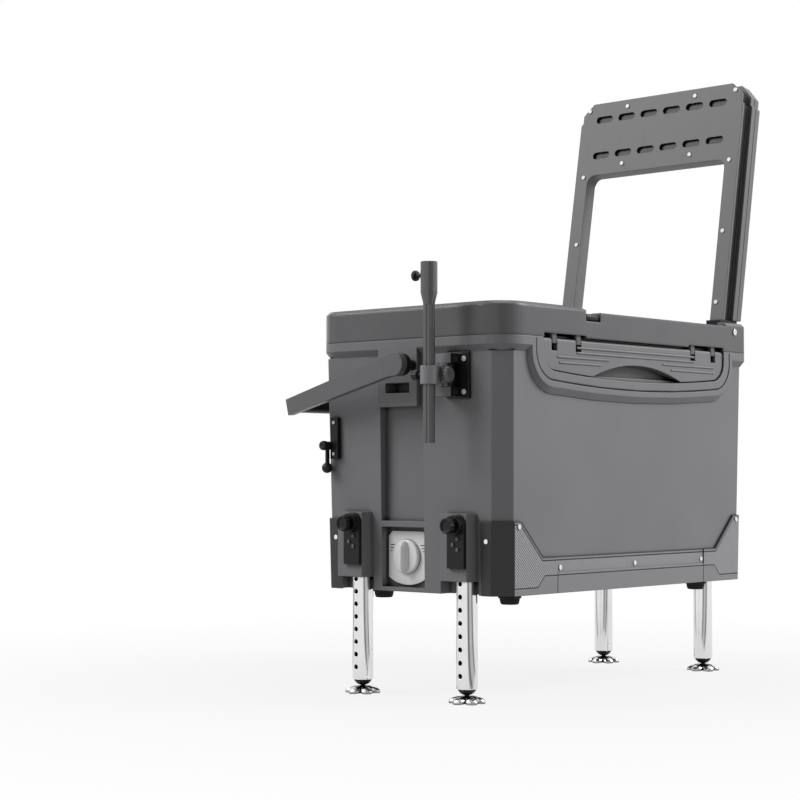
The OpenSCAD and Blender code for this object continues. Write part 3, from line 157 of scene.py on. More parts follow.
class Finish(Shading):
    """A material under construction: its node tree and its Principled shader."""

    def __init__(self, name, **constants):
        self.material = bpy.data.materials.new(name)
        self.material.use_nodes = True
        super().__init__(self.material.node_tree)
        self.shader = self.tree.nodes["Principled BSDF"]
        for socket, value in constants.items():
            self.shader.inputs[socket.replace("_", " ")].default_value = value

    def place(self):
        """The surface point in metres, in the frame that every piece shares."""
        return self.node("ShaderNodeTexCoord", output="Object")

    def axes(self):
        """The surface point's three coordinates as values."""
        return self.parts(self.place())

    def noise(self, size, detail=2.0, rough=0.5, stretch=(1, 1, 1)):
        """Cloudy variation from 0 to 1 whose blobs are about size metres across."""
        spot = self.node("ShaderNodeMapping", None, {"Vector": self.place(), "Scale": stretch})
        inputs = {"Vector": spot, "Scale": 1 / size, "Detail": detail, "Roughness": rough}
        return self.node("ShaderNodeTexNoise", {"noise_dimensions": "3D"}, inputs)

    def blend(self, share, low, high):
        """A colour between low and high."""
        return self.node(
            "ShaderNodeMix", {"data_type": "RGBA"}, {0: share, 6: low, 7: high}, output=2
        )

    def crease_shaded(self, colour, reach=0.007, grey=10):
        """Paints shade into a colour: darkens it in the corners and joints that are narrower than
        about reach.
        """
        settings = {"samples": 6}
        open_sky = self.node("ShaderNodeAmbientOcclusion", settings, {"Distance": reach}, 1)
        return self.blend(self.ramp(open_sky, 0.3, 0.85), tone(grey), colour)

    def relief(self, height, depth, softened=0.0):
        """Bumps the surface by height times depth metres; softened rounds the sharp edges."""
        inputs = {"Height": height, "Distance": depth, "Strength": 1.0}
        if softened:
            inputs["Normal"] = self.node(
                "ShaderNodeBevel", {"samples": 6}, {"Radius": softened}
            )
        self.feed(self.shader.inputs["Normal"], self.node("ShaderNodeBump", None, inputs))

    def set(self, **sockets):
        """Feeds sockets of the shader, named with underscores for spaces."""
        for socket, value in sockets.items():
            self.feed(self.shader.inputs[socket.replace("_", " ")], value)


def tone(grey, tint=(1.0, 1.0, 1.0)):
    """A linear colour from a display grey of 0 to 255, tinted."""
    level = grey / 255
    linear = level / 12.92 if level <= 0.04045 else ((level + 0.055) / 1.055) ** 2.4
    return (linear * tint[0], linear * tint[1], linear * tint[2], 1.0)


# The plastics are slightly cool. What clouds, scuffs and a dull texture add to a roughness:
COOL = (0.985, 0.99, 1.03)
CLOUDED, SCUFFED, DULLED = 0.06, 0.05, 0.5


def moulded(name, grey, rough, grain=0.00035, depth=0.00002, softened=0.0015, spread=6,
            gloss=0.3, marked_or_shaded=None, marked_or_shaded_grey=12, matt=None):
    """Moulded plastic: fine spark-eroded grain, faint flow clouds, and painted shade in its joints
    and corners.

    marked_or_shaded may be a function of the finish that gives 1 where the surface has another grey,
    and matt one that gives 1 where it is textured dull. Where it marks the backrest's slot walls and
    the lid liner's notch rim, that grey is painted shade.
    """
    finish = Finish(name, Specular_IOR_Level=gloss)
    clouds = finish.noise(size=0.09, detail=3.0)
    speckle = finish.noise(size=grain, detail=2.0, rough=0.6)
    colour = finish.blend(clouds, tone(grey - spread, COOL), tone(grey + spread, COOL))
    # Another grey where the mask gives 1. On the slot walls and the liner's notch rim it is painted
    # shade.
    if marked_or_shaded:
        colour = finish.blend(marked_or_shaded(finish), colour, tone(marked_or_shaded_grey, COOL))
    # Painted shade in the corners and joints.
    colour = finish.crease_shaded(colour)
    streaks = finish.noise(size=0.012, detail=4.0, rough=0.7, stretch=(1, 1, 0.25))
    scuffs = finish.ramp(streaks, low=0.58, high=0.72)
    roughness = rough + CLOUDED * clouds + SCUFFED * scuffs
    if matt:
        roughness = roughness + DULLED * matt(finish)
    finish.set(Base_Color=colour, Roughness=roughness)
    finish.relief(speckle, depth, softened)
    return finish


def on_top(finish):
    """1 on the lid's textured top, which keeps clear of its glossy sides."""
    x, y, _ = finish.axes()
    centre, half = middle("lid_shell")
    inner = half - 20 * MM
    return (abs(x - centre[0]) < inner[0]) * (abs(y - centre[1]) < inner[1])


def slot_wall_shade(finish):
    """1 on the walls of the backrest's hand slots, which are painted near black as shade, from
    places along and into its front plate.
    """
    look = bpy.context.scene.seatbox_look
    skin_deep, row_half, slot_half = 0.3 * MM, 116 * MM, 7 * MM
    row_drops = (25 * MM, 78 * MM)
    x, y, z = finish.axes()
    low, high = corners("backrest_front_plate")
    lean = look.backrest_lean
    height = (high[2] - low[2]) / math.cos(lean)
    up = (x - low[0]) * math.sin(lean) + (z - low[2]) * math.cos(lean)
    into = (x - low[0]) * math.cos(lean) - (z - low[2]) * math.sin(lean)
    inside = (into > skin_deep) * (abs(y - (low[1] + high[1]) / 2) < row_half)
    rows = 0
    for drop in row_drops:
        rows = rows + (abs(up - (height - drop)) < slot_half)
    return inside * rows


def bracket_ends(finish):
    """1 on the outer ends of the front bracket's cheeks and on the ring that grips the pole."""
    x, _, _ = finish.axes()
    end_skin, ring_wide = 0.6 * MM, 22 * MM
    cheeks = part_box("bracket_base")[0][0] + end_skin
    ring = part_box("bracket_swivel")[0][0] + ring_wide
    return (x < cheeks) * (x > ring) + (x < ring)


def low_down(finish):
    """1 on the blackened screws of the leg locks, which sit low on the case."""
    return finish.axes()[2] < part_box("lock_housings")[1][2]


def notch_shade(finish):
    """1 on the lid liner's rim along the front, where the latch's notch shows it and painted shade
    darkens it.
    """
    rim_wide = 30 * MM
    return finish.axes()[1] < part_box("lid_liner")[0][1] + rim_wide


def treaded(name, grey, rough, pitch):
    """Guard and trim plastic. On the long sides it has a ribbed field inside a groove, and the
    groove is painted near black as shade.

    The field's edge follows the guard's outline: level over the trim, up the slope at 45 degrees
    to the corner, and along the foot. field is the distance inside that edge.
    """
    field_low, field_high, field_out, margin = 8 * MM, 21 * MM, 86 * MM, 4 * MM
    slope_up, slope_from, foot_to = 9.3 * MM, 38.5 * MM, 46 * MM
    groove_in, groove_out, seam_half, rim_in = 0.4 * MM, 1.0 * MM, 0.6 * MM, 3.0 * MM
    finish = Finish(name, Specular_IOR_Level=0.3)
    x, y, z = finish.axes()
    low, high = corners("corner_guards")
    seams = [corner[0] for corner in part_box("trim_strips")]
    reach = abs(x - sum(seams) / 2) - (seams[1] - seams[0]) / 2
    rise = z - low[2]
    top = high[2] - low[2]
    slope = finish.maths("MAXIMUM", reach + slope_up, slope_from)
    foot = finish.maths("MINIMUM", foot_to - reach, field_high)
    foot = finish.maths("MAXIMUM", foot, field_low)
    field = finish.maths("MINIMUM", slope - rise, rise - foot)
    field = finish.maths("MINIMUM", field, top - margin - rise)
    field = finish.maths("MINIMUM", field, field_out - reach)
    normal = finish.node("ShaderNodeNewGeometry", output="Normal")
    side = abs(finish.parts(normal)[1]) > 0.9
    ribbed = (field > 0.9 * MM) * side
    groove = (1 - finish.ramp(abs(field), groove_in, groove_out)) * side
    seam = (abs(reach) < seam_half) * side
    ribs = finish.ramp(abs(((x + z) % pitch) - pitch / 2) / (pitch / 2), low=0.3, high=0.7)
    tall = 1 - 0.5 * ribbed + 0.5 * ribs * ribbed - groove
    outline = finish.maths("MINIMUM", slope - rise, top - margin - rise)
    rim = (outline < -rim_in) * side
    # Painted shade: faces other than the long sides, such as the end faces and chamfers, are painted
    # far darker than the long sides.
    plain = finish.blend(side, tone(grey - 78, COOL), tone(grey - 8, COOL))
    # Painted highlight and shade: the ribs' crests are painted lighter and their valleys darker.
    rib_light_and_shade = finish.blend(ribs, tone(grey - 34, COOL), tone(grey + 30, COOL))
    colour = finish.blend(ribbed, plain, rib_light_and_shade)
    # Painted shade: the groove, the seam between pieces and a line along the top outline are painted
    # near black as shadow gaps.
    lines = finish.maths("MINIMUM", groove + seam + rim, 1.0)
    colour = finish.crease_shaded(finish.blend(lines, colour, tone(24)))
    haze = finish.noise(size=0.07, detail=3.0)
    finish.set(Base_Color=colour, Roughness=rough + 0.08 * haze)
    finish.relief(tall, depth=0.0005, softened=0.0012)
    return finish


def chromed(name, rough=0.05, reach=0.004, shade=40):
    """Plated steel: bright, with hair-fine draw lines along its length, and painted shade in its
    corners.
    """
    finish = Finish(name, Metallic=1.0)
    lines = finish.noise(size=0.0012, stretch=(1, 1, 0.04))
    haze = finish.noise(size=0.03, detail=3.0)
    finish.set(
        Base_Color=finish.crease_shaded(finish.blend(haze, tone(214), tone(236)), reach, shade),
        Roughness=rough + 0.05 * haze,
    )
    finish.relief(lines, depth=0.000004, softened=0.0006)
    return finish


def rubbery(name, grey):
    """Soft black rubber with a dusty bloom."""
    finish = Finish(name, Specular_IOR_Level=0.25)
    bloom = finish.noise(size=0.006, detail=4.0, rough=0.7)
    # Painted shade in the corners and joints.
    colour = finish.crease_shaded(finish.blend(bloom, tone(grey), tone(grey + 14)), grey=8)
    finish.set(Base_Color=colour, Roughness=0.72 + 0.12 * bloom)
    finish.relief(finish.noise(size=0.0006), depth=0.00004, softened=0.0008)
    return finish


def glossy_white(name):
    """Smooth white plastic with a slight unevenness of sheen."""
    finish = Finish(name, IOR=1.5)
    clouds = finish.noise(size=0.02, detail=3.0)
    pale = finish.blend(clouds, tone(232), tone(242))
    # Painted shade: greyer in the narrow corners.
    colour = finish.crease_shaded(pale, reach=0.003, grey=120)
    finish.set(Base_Color=colour, Roughness=0.28 + 0.08 * clouds)
    finish.relief(finish.noise(size=0.0005), depth=0.00001, softened=0.0012)
    return finish


def make_finishes(look):
    """Every finish by the name that the pieces use."""
    return {
        "shell": moulded("shell_plastic", look.shell_grey, 0.42),
        "lid": moulded(
            "lid_plastic", look.lid_grey, 0.2, depth=0.000008, softened=0.004, gloss=0.3,
            matt=on_top,
        ),
        # The hand slots' walls are painted near black as shade.
        "plate": moulded("plate_plastic", look.backrest_grey, 0.4, marked_or_shaded=slot_wall_shade),
        "guard": treaded("guard_plastic", look.guard_grey, 0.42, look.rib_pitch),
        "black": moulded(
            "black_plastic", look.fittings_grey, 0.3, spread=4, softened=0.0012, gloss=0.22,
        ),
        "arm": moulded("arm_plastic", look.bail_grey, 0.34, spread=4, softened=0.0012),
        "pole": moulded("pole_plastic", look.pole_grey, 0.2, spread=4, softened=0, gloss=0.9),
        "bracket": moulded(
            "bracket_plastic", look.fittings_grey, 0.3, spread=4, softened=0.0012,
            marked_or_shaded=bracket_ends, marked_or_shaded_grey=134,
        ),
        "screws": moulded(
            "screw_heads", 228, 0.3, spread=4, gloss=0.5, marked_or_shaded=low_down, marked_or_shaded_grey=86,
        ),
        # The liner's front rim is painted near black as the shade inside the latch's notch.
        "liner": moulded("liner_plastic", 234, 0.32, spread=4, marked_or_shaded=notch_shade, marked_or_shaded_grey=34),
        "knob": moulded("knob_plastic", 96, 0.3, spread=4, softened=0.0012, gloss=0.5),
        "chrome": chromed("chromed_steel"),
        "claw": chromed("claw_steel", rough=0.12, reach=0.012, shade=8),
        "rubber": rubbery("black_rubber", 30),
        "white": glossy_white("white_plastic"),
        "foam": moulded("insulation_foam", 225, 0.85, grain=0.0012, depth=0.0002),
    }


FINISH_OF = {
    "outer_shell": "shell", "foam_core": "foam", "inner_liner": "white", "corner_guards": "guard",
    "trim_strips": "guard", "guard_screws": "chrome", "rubber_feet": "rubber",
    "leg_sleeves": "black", "lock_housings": "black", "fixing_screws": "screws",
    "drain_plate": "white", "drain_bush": "black", "bail_hubs": "black",
    "bail_pivot_pins": "chrome", "lid_hinge_brackets": "black", "bracket_base": "bracket",
    "bracket_clevis_pin": "chrome", "rear_bracket_plate": "black", "lid_shell": "lid",
    "lid_liner": "liner", "lid_gasket": "rubber", "lid_hinge_leaves": "black",
    "lid_hinge_pins": "chrome", "latch_hinge_pins": "chrome", "seat_mat": "rubber",
    "backrest_pivot_screws": "chrome", "latch_flap": "shell", "backrest_catch": "black",
    "backrest_front_plate": "plate", "backrest_core": "black", "backrest_rear_shell": "plate",
    "backrest_screws": "white", "backrest_lugs": "black", "bail_arm_left": "arm",
    "bail_arm_right": "arm", "bail_crossbar": "black", "drain_knob": "white",
    "bracket_swivel": "bracket", "swivel_knob": "knob", "pole_clamp_screw": "black",
    "holder_pole": "pole", "pole_thumb_screw": "black", "rear_bracket_arm": "black",
    "rear_bracket_knob": "black",
}
for leg in LEGS:
    FINISH_OF.update(
        {"leg_tube_" + leg: "chrome", "leg_cap_" + leg: "black",
         "claw_foot_" + leg: "chrome", "lock_pin_" + leg: "black"}
    )


# Surfaces


def frame_of(axis):
    """Two unit vectors square to the axis, as rows, and the axis itself."""
    along = np.array(axis, float) / np.linalg.norm(axis)
    helper = np.array((0.0, 0.0, 1.0)) if abs(along[2]) < 0.9 else np.array((1.0, 0.0, 0.0))
    across = np.cross(helper, along)
    across /= np.linalg.norm(across)
    return np.stack((across, np.cross(along, across), along))


def eased(profile, share=0.35, steps=4):
    """Rounds a profile's corners: each becomes a short curve between points on its two sides."""
    points = np.array(profile, float)
    before, here, after = points[:-2], points[1:-1], points[2:]
    start = here + (before - here) * share
    end = here + (after - here) * share
    t = np.linspace(0, 1, steps)[None, :, None]
    curves = (1 - t) ** 2 * start[:, None] + 2 * t * (1 - t) * here[:, None]
    curves = curves + t ** 2 * end[:, None]
    return np.vstack((points[:1], curves.reshape(-1, 2), points[-1:]))


def skin(name, rings, finish, body, replaced=(), sharp=35.0):
    """Covers rows of closed rings with faces and closes both ends with a fan.

    rings has the shape (rows, points round, 3), in metres, in the shared frame.
    """
    rows, around = rings.shape[:2]
    ends = rings[[0, -1]].mean(axis=1)
    points = np.vstack((rings.reshape(-1, 3), ends))
    row, step = np.meshgrid(np.arange(rows - 1), np.arange(around), indexing="ij")
    turn = (step + 1) % around
    quads = np.stack(
        (row * around + step, row * around + turn,
         (row + 1) * around + turn, (row + 1) * around + step), axis=-1
    ).reshape(-1, 4)
    ring = np.arange(around)
    following = (ring + 1) % around
    first = np.stack((following, ring, np.full(around, rows * around)), axis=-1)
    base = (rows - 1) * around
    last = np.stack((base + ring, base + following, np.full(around, rows * around + 1)), axis=-1)
    mesh = bpy.data.meshes.new(name)
    mesh.from_pydata(points.tolist(), [], quads.tolist() + first.tolist() + last.tolist())
    return finished(name, mesh, finish, body, replaced, sharp)


def finished(name, mesh, finish, body, replaced=(), sharp=35.0):
    """Turns a mesh's faces outwards, smooths it, gives it its finish and sets it on its body."""
    shape = bmesh.new()
    shape.from_mesh(mesh)
    bmesh.ops.remove_doubles(shape, verts=shape.verts, dist=1e-6)
    bmesh.ops.recalc_face_normals(shape, faces=shape.faces)
    shape.to_mesh(mesh)
    shape.free()
    mesh.shade_smooth()
    mesh.set_sharp_from_angle(angle=math.radians(sharp))
    piece = bpy.data.objects.new(name, mesh)
    bpy.context.collection.objects.link(piece)
    mesh.materials.append(FINISHES[finish].material)
    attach(piece, body)
    if replaced:
        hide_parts(*replaced)
    return piece


def turned(name, centre, axis, profile, finish, body, sides=64, flutes=0, depth=0.0,
           fluted=(-1e9, 1e9), flat=1.0, replaced=()):
    """A profile of (height, radius) pairs carried round an axis.

    Between the fluted heights the radius is cut by depth times the flute wave
    (1 - cos(flutes * angle)) / 2; flat squashes the shape along the second cross direction.
    """
    heights, radii = np.array(profile, float).T
    angle = np.linspace(0, 2 * math.pi, sides, endpoint=False)
    wave = (1 - np.cos(flutes * angle)) / 2
    cut = depth * ((heights >= fluted[0]) & (heights <= fluted[1]))[:, None] * wave[None, :]
    radius = radii[:, None] - np.minimum(cut, radii[:, None] * 0.9)
    axes = frame_of(axis)
    rings = (
        (radius * np.cos(angle))[..., None] * axes[0]
        + flat * (radius * np.sin(angle))[..., None] * axes[1]
        + heights[:, None, None] * axes[2]
    )
    return skin(name, rings + np.array(centre), finish, body, replaced)


def corners(node):
    """The low and the high corner of a node's box, as arrays."""
    low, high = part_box(node)
    return np.array(low), np.array(high)


def middle(node):
    """The middle of a node's box, and half its size, as arrays."""
    low, high = corners(node)
    return (low + high) / 2, (high - low) / 2


def along(node, axis, sign):
    """The middle of the face where a node's box ends along an axis."""
    centre, half = middle(node)
    centre[axis] += sign * half[axis]
    return centre


# Operators


class SEATBOX_OT_finishes(bpy.types.Operator):
    """Makes every finish and gives each CAD node its own"""

    bl_idname = "seatbox.finishes"
    bl_label = "Finish the CAD nodes"

    def execute(self, context):
        FINISHES.update(make_finishes(context.scene.seatbox_look))
        for name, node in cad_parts.items():
            material = FINISHES[FINISH_OF[name]].material
            node.data.materials.clear()
            node.data.materials.append(material)
        return {"FINISHED"}


class SEATBOX_OT_claw_feet(bpy.types.Operator):
    """Domed six-lobed claw feet on ball stems"""

    bl_idname = "seatbox.claw_feet"
    bl_label = "Claw feet"

    def execute(self, context):
        for leg in LEGS:
            claw_foot(leg)
            leg_bowl(leg)
        return {"FINISHED"}


def leg_bowl(leg):
    """The black end cap of a leg: a plug in the tube over a bowl that narrows to the ball."""
    node = "leg_cap_" + leg
    _, half = middle(node)
    length = 2 * half[2] / MM
    points = [
        (0, 0), (0, 4.6), (0.8, 6.6), (2.6, 8.8), (4.6, 10.2), (6.3, 10.7), (6.45, 10.7),
        (6.45, 9.6), (length, 9.6), (length, 0),
    ]
    turned(
        "leg_bowl_" + leg, along(node, 2, -1), (0, 0, 1), np.array(points) * MM, "black",
        "leg_" + leg, replaced=(node,),
    )


def claw_foot(leg):
    """A plated star: a dome whose rim swings out into six broad lobes, and its stem.

    A notch of angle a is (1 - |cos 3a|) ** 1.5: 0 along the middle of a lobe, 1 between two. The
    profile's radius grows by spread along the lobes and shrinks by the pinch in the notches, both
    with the cube of the share of the way out. In the notches the rim lifts off the ground and the
    dome's top sinks by the dip.
    """
    node = "claw_foot_" + leg
    centre, half = middle(node)
    low, top = centre[2] - half[2], centre[2] + half[2]
    reach = half[0]
    spread, pinch, lift, dip, dome_top = 0.14, 0.36, 1.0 * MM, 2.8 * MM, 8.5 * MM
    profile = np.array([
        (1.6, 0.0), (1.6, 5.0), (1.4, 9.0), (0.6, 12.5), (0.0, 16.5), (0.0, 18.4), (0.9, 18.8),
        (3.6, 18.6), (5.8, 17.0), (7.3, 14.0), (8.1, 10.2), (8.4, 6.4), (8.5, 3.4), (9.0, 2.8),
        (9.4, 3.2), (10.0, 3.9), (11.5, 4.8), (12.4, 5.0), (13.4, 4.9), (15.4, 4.0), (17.0, 2.0),
        (17.4, 0.0),
    ]) * MM
    heights, radii = profile.T
    angle = np.linspace(0, 2 * math.pi, 96, endpoint=False)
    notch = (1 - np.abs(np.cos(3 * angle))) ** 1.5
    share = np.clip(radii / (18 * MM), 0, 1)[:, None]
    radius = radii[:, None] * (1 + share ** 3 * (spread - pinch * notch))
    on_top = np.logical_and(heights > 3 * MM, heights <= dome_top)[:, None]
    taper = np.minimum(heights[:, None] / dome_top, 1) * np.minimum(1.5 * share, 1)
    lifted = lift * share ** 4 * notch * (heights <= 3 * MM)[:, None]
    rise = heights[:, None] + lifted - dip * notch * taper * on_top
    rings = np.stack(
        (centre[0] + radius * np.cos(angle) * reach / (21.5 * MM),
         centre[1] + radius * np.sin(angle) * reach / (21.5 * MM),
         np.minimum(low + rise, top)), axis=-1
    )
    skin("claw_star_" + leg, rings, "claw", "claw_" + leg, (node,), 50)


class SEATBOX_OT_knobs(bpy.types.Operator):
    """Fluted knobs, thumb screws and pull pins"""

    bl_idname = "seatbox.knobs"
    bl_label = "Knobs and thumb screws"

    def execute(self, context):
        for leg in LEGS:
            lock_knob(leg)
        fluted_screw("pole_clamp_screw", "clamp_screw", 1, 1, 6.0, 9.0, 10)
        fluted_screw("pole_thumb_screw", "thumb_screw", 1, 1, 6.2, 5.0, 18)
        fluted_screw("rear_bracket_knob", "rear_knob", 0, -1, 5.8, 8.0, 12)
        fluted_screw("swivel_knob", "swivel_cap", 1, -1, 9.4, 4.0, 14, "knob")
        return {"FINISHED"}


def lock_knob(leg):
    """A pull pin: a waisted stem and a fluted head with a dished face."""
    node = "lock_pin_" + leg
    _, half = middle(node)
    side = -1 if leg.endswith("l") else 1
    start = along(node, 0, -side)
    length = 2 * half[0] / MM
    head = 9.4
    points = [
        (0, 0), (0, 2.6), (length - 33, 2.6), (length - 33, 4), (length - 11.5, 4),
        (length - 11.5, 5.2), (length - 9.5, 5.8), (length - 8, 7), (length - 7, head),
        (length - 1, head), (length, 8.4), (length, 7.2), (length - 2, 6.4), (length - 1.2, 0),
    ]
    profile = eased(np.array(points) * MM, share=0.3)
    turned(
        "lock_knob_" + leg, start, (side, 0, 0), profile, "black", "lock_" + leg, sides=96,
        flutes=12, depth=0.9 * MM, fluted=((length - 7.5) * MM, (length - 0.5) * MM),
        replaced=(node,),
    )


def fluted_screw(node, body, axis, side, radius, thick, flutes, finish="black"):
    """A thumb screw: a plain shank under a fluted head with rounded edges.

    The head's radius and thickness are in millimetres; the length is the CAD node's own.
    """
    _, half = middle(node)
    direction = np.zeros(3)
    direction[axis] = side
    start = along(node, axis, -side)
    length = 2 * half[axis] / MM
    shank = min(2.4, radius * 0.4) if length > thick + 0.5 else radius * 0.8
    points = [
        (0, 0), (0, shank), (length - thick, shank), (length - thick, radius * 0.86),
        (length - thick * 0.8, radius), (length - thick * 0.15, radius), (length, radius * 0.86),
        (length, radius * 0.5), (length - 0.6, radius * 0.42), (length - 0.6, 0),
    ]
    turned(
        node + "_head", start, direction, eased(np.array(points) * MM, share=0.3), finish, body,
        sides=96, flutes=flutes, depth=0.7 * MM, fluted=((length - thick * 0.85) * MM, 1),
        replaced=(node,),
    )


class SEATBOX_OT_pole(bpy.types.Operator):
    """The fluted accessory pole with its open socket"""

    bl_idname = "seatbox.pole"
    bl_label = "Accessory pole"

    def execute(self, context):
        _, half = middle("holder_pole")
        length = 2 * half[2] / MM
        wide, slim, bore, deep, taper = half[0] / MM, 6.75, 7.25, 35.0, 12.0
        low = length - deep
        points = [
            (low, 0), (low, bore), (length - 0.6, bore), (length, bore + 0.6),
            (length, wide - 0.6), (length - 0.6, wide), (low + 3, wide), (low - 1, wide),
            (low - taper, slim + 0.2), (low - taper - 2, slim), (low - taper - 2.5, slim),
            (1.0, slim), (0.6, slim), (0, slim - 0.6), (0, 0),
        ]
        turned(
            "fluted_pole", along("holder_pole", 2, -1), (0, 0, 1), np.array(points) * MM, "pole",
            "pole", sides=160, flutes=8, depth=1.0 * MM, fluted=(0, (low - taper - 2.2) * MM),
            replaced=("holder_pole",),
        )
        return {"FINISHED"}


class SEATBOX_OT_drain(bpy.types.Operator):
    """The drain's dial with its grip and its index marks"""

    bl_idname = "seatbox.drain"
    bl_label = "Drain dial"

    def execute(self, context):
        centre, half = middle("drain_knob")
        hub = along("drain_knob", 0, 1)
        length = 2 * half[0] / MM
        radius = half[2] / MM + 2.0
        points = [
            (0, 0), (0, 6.9), (length - 10, 6.9), (length - 10, radius), (length - 6.5, radius),
            (length - 5.0, radius - 1.6), (length - 4.6, 0),
        ]
        turned(
            "drain_dial", hub, (-1, 0, 0), eased(np.array(points) * MM, share=0.25), "white",
            "drain", sides=96, replaced=("drain_knob",),
        )
        drain_grip(centre, half)
        drain_marks(centre)
        return {"FINISHED"}


def drain_grip(centre, half):
    """The dial's upright grip: a half-ellipse ridge across the dial, thinner at its crest."""
    t = np.linspace(-1, 1, 33)[:, None]
    a = np.linspace(0, 2 * math.pi, 40, endpoint=False)[None, :]
    envelope = np.sqrt(np.clip(1 - t ** 4, 0, 1))
    width = 6.4 * MM * envelope * np.cos(a)
    rise = 9.4 * MM * envelope * np.clip(np.sin(a), -0.2, 1)
    face = centre[0] - half[0] + 5.2 * MM
    rings = np.stack(
        (face - rise + 0 * t, centre[1] + width * (1 - 0.35 * np.clip(np.sin(a), 0, 1)),
         centre[2] + t * (half[2] + 0.8 * MM) + 0 * a), axis=-1
    )
    skin("drain_grip", rings, "white", "drain", sharp=50)


def drain_marks(centre):
    """Three short dark lines on each side of the dial, on the fixed plate."""
    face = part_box("drain_plate")[0][0]
    for side in (-1, 1):
        for i, length in enumerate((7.0, 5.0, 3.4)):
            height = centre[2] + (13.5 - 3.6 * i) * MM
            place = (face, centre[1] + side * (25.5 - length / 2 + 1.5) * MM, height)
            capsule(
                f"drain_mark_{'rear' if side > 0 else 'front'}_{i + 1}", place, (0, 1, 0),
                length * MM, 0.55 * MM, 0.45, "black", "case",
            )


def capsule(name, centre, axis, length, radius, flat, finish, body, normal=None, replaced=()):
    """A bar with round ends, squashed to flat times its radius out of its surface."""
    half = max(length / 2 - radius, 0)
    bend = np.linspace(0, math.pi / 2, 7)
    left = np.stack((-half - radius * np.cos(bend), radius * np.sin(bend)), axis=-1)
    right = np.stack((half + radius * np.sin(bend), radius * np.cos(bend)), axis=-1)
    profile = np.vstack((left, right))
    heights, radii = profile.T
    angle = np.linspace(0, 2 * math.pi, 20, endpoint=False)
    along_axis = np.array(axis, float) / np.linalg.norm(axis)
    out = np.array(normal if normal is not None else (1.0, 0.0, 0.0))
    across = np.cross(along_axis, out)
    rings = (
        (radii[:, None] * np.cos(angle))[..., None] * across
        + flat * (radii[:, None] * np.sin(angle))[..., None] * out
        + heights[:, None, None] * along_axis
    )
    return skin(name, rings + np.array(centre), finish, body, replaced)


class SEATBOX_OT_latch_ribs(bpy.types.Operator):
    """Fine ribs on the latch flap, and the button that frees the backrest"""

    bl_idname = "seatbox.latch_ribs"
    bl_label = "Latch ribs and button"

    def execute(self, context):
        low, high = corners("latch_flap")
        middle_x = (low[0] + high[0]) / 2
        thick, sunk = 1.5, 0.2
        # Each rib's offset to the right, its length and its drop from the flap's top
        ribs = (
            (0, 252, 9.5), (0, 252, 15.5), (-112, 104, 21.5), (112, 118, 21.5),
            (-118, 84, 28.0), (122, 100, 28.0),
        )
        for i, (offset, length, drop) in enumerate(ribs):
            place = (middle_x + offset * MM, low[1] + sunk * MM, high[2] - drop * MM)
            capsule(
                f"latch_rib_{i + 1}", place, (1, 0, 0), length * MM, thick * MM, 0.9,
                "shell", "latch", (0, 1, 0),
            )
        centre, half = middle("backrest_catch")
        capsule(
            "catch_button", centre, (1, 0, 0), 2 * half[0], half[2], half[1] / half[2],
            "black", "catch", (0, 1, 0), ("backrest_catch",),
        )
        return {"FINISHED"}


class SEATBOX_OT_rubber_feet(bpy.types.Operator):
    """Stepped rubber feet under the case, a little taller than the CAD's"""

    bl_idname = "seatbox.rubber_feet"
    bl_label = "Rubber feet"

    def execute(self, context):
        low, high = corners("rubber_feet")
        radius = 13.5
        points = [
            (0, 0), (0, radius), (4.6, radius), (5.0, radius - 1.6), (7.4, radius - 2),
            (10.8, radius - 2.8), (12, radius - 4), (12, radius - 6), (11, radius - 7), (11, 0),
        ]
        profile = eased(np.array(points) * MM, share=0.25)
        first = True
        for x in (low[0] + radius * MM, high[0] - radius * MM):
            for y in (low[1] + radius * MM, high[1] - radius * MM):
                side = ("l" if x < 0 else "r", "f" if y < 0 else "b")
                turned(
                    "case_foot_" + side[1] + side[0], (x, y, high[2]), (0, 0, -1), profile,
                    "rubber", "case", sides=64, replaced=("rubber_feet",) if first else (),
                )
                first = False
        return {"FINISHED"}


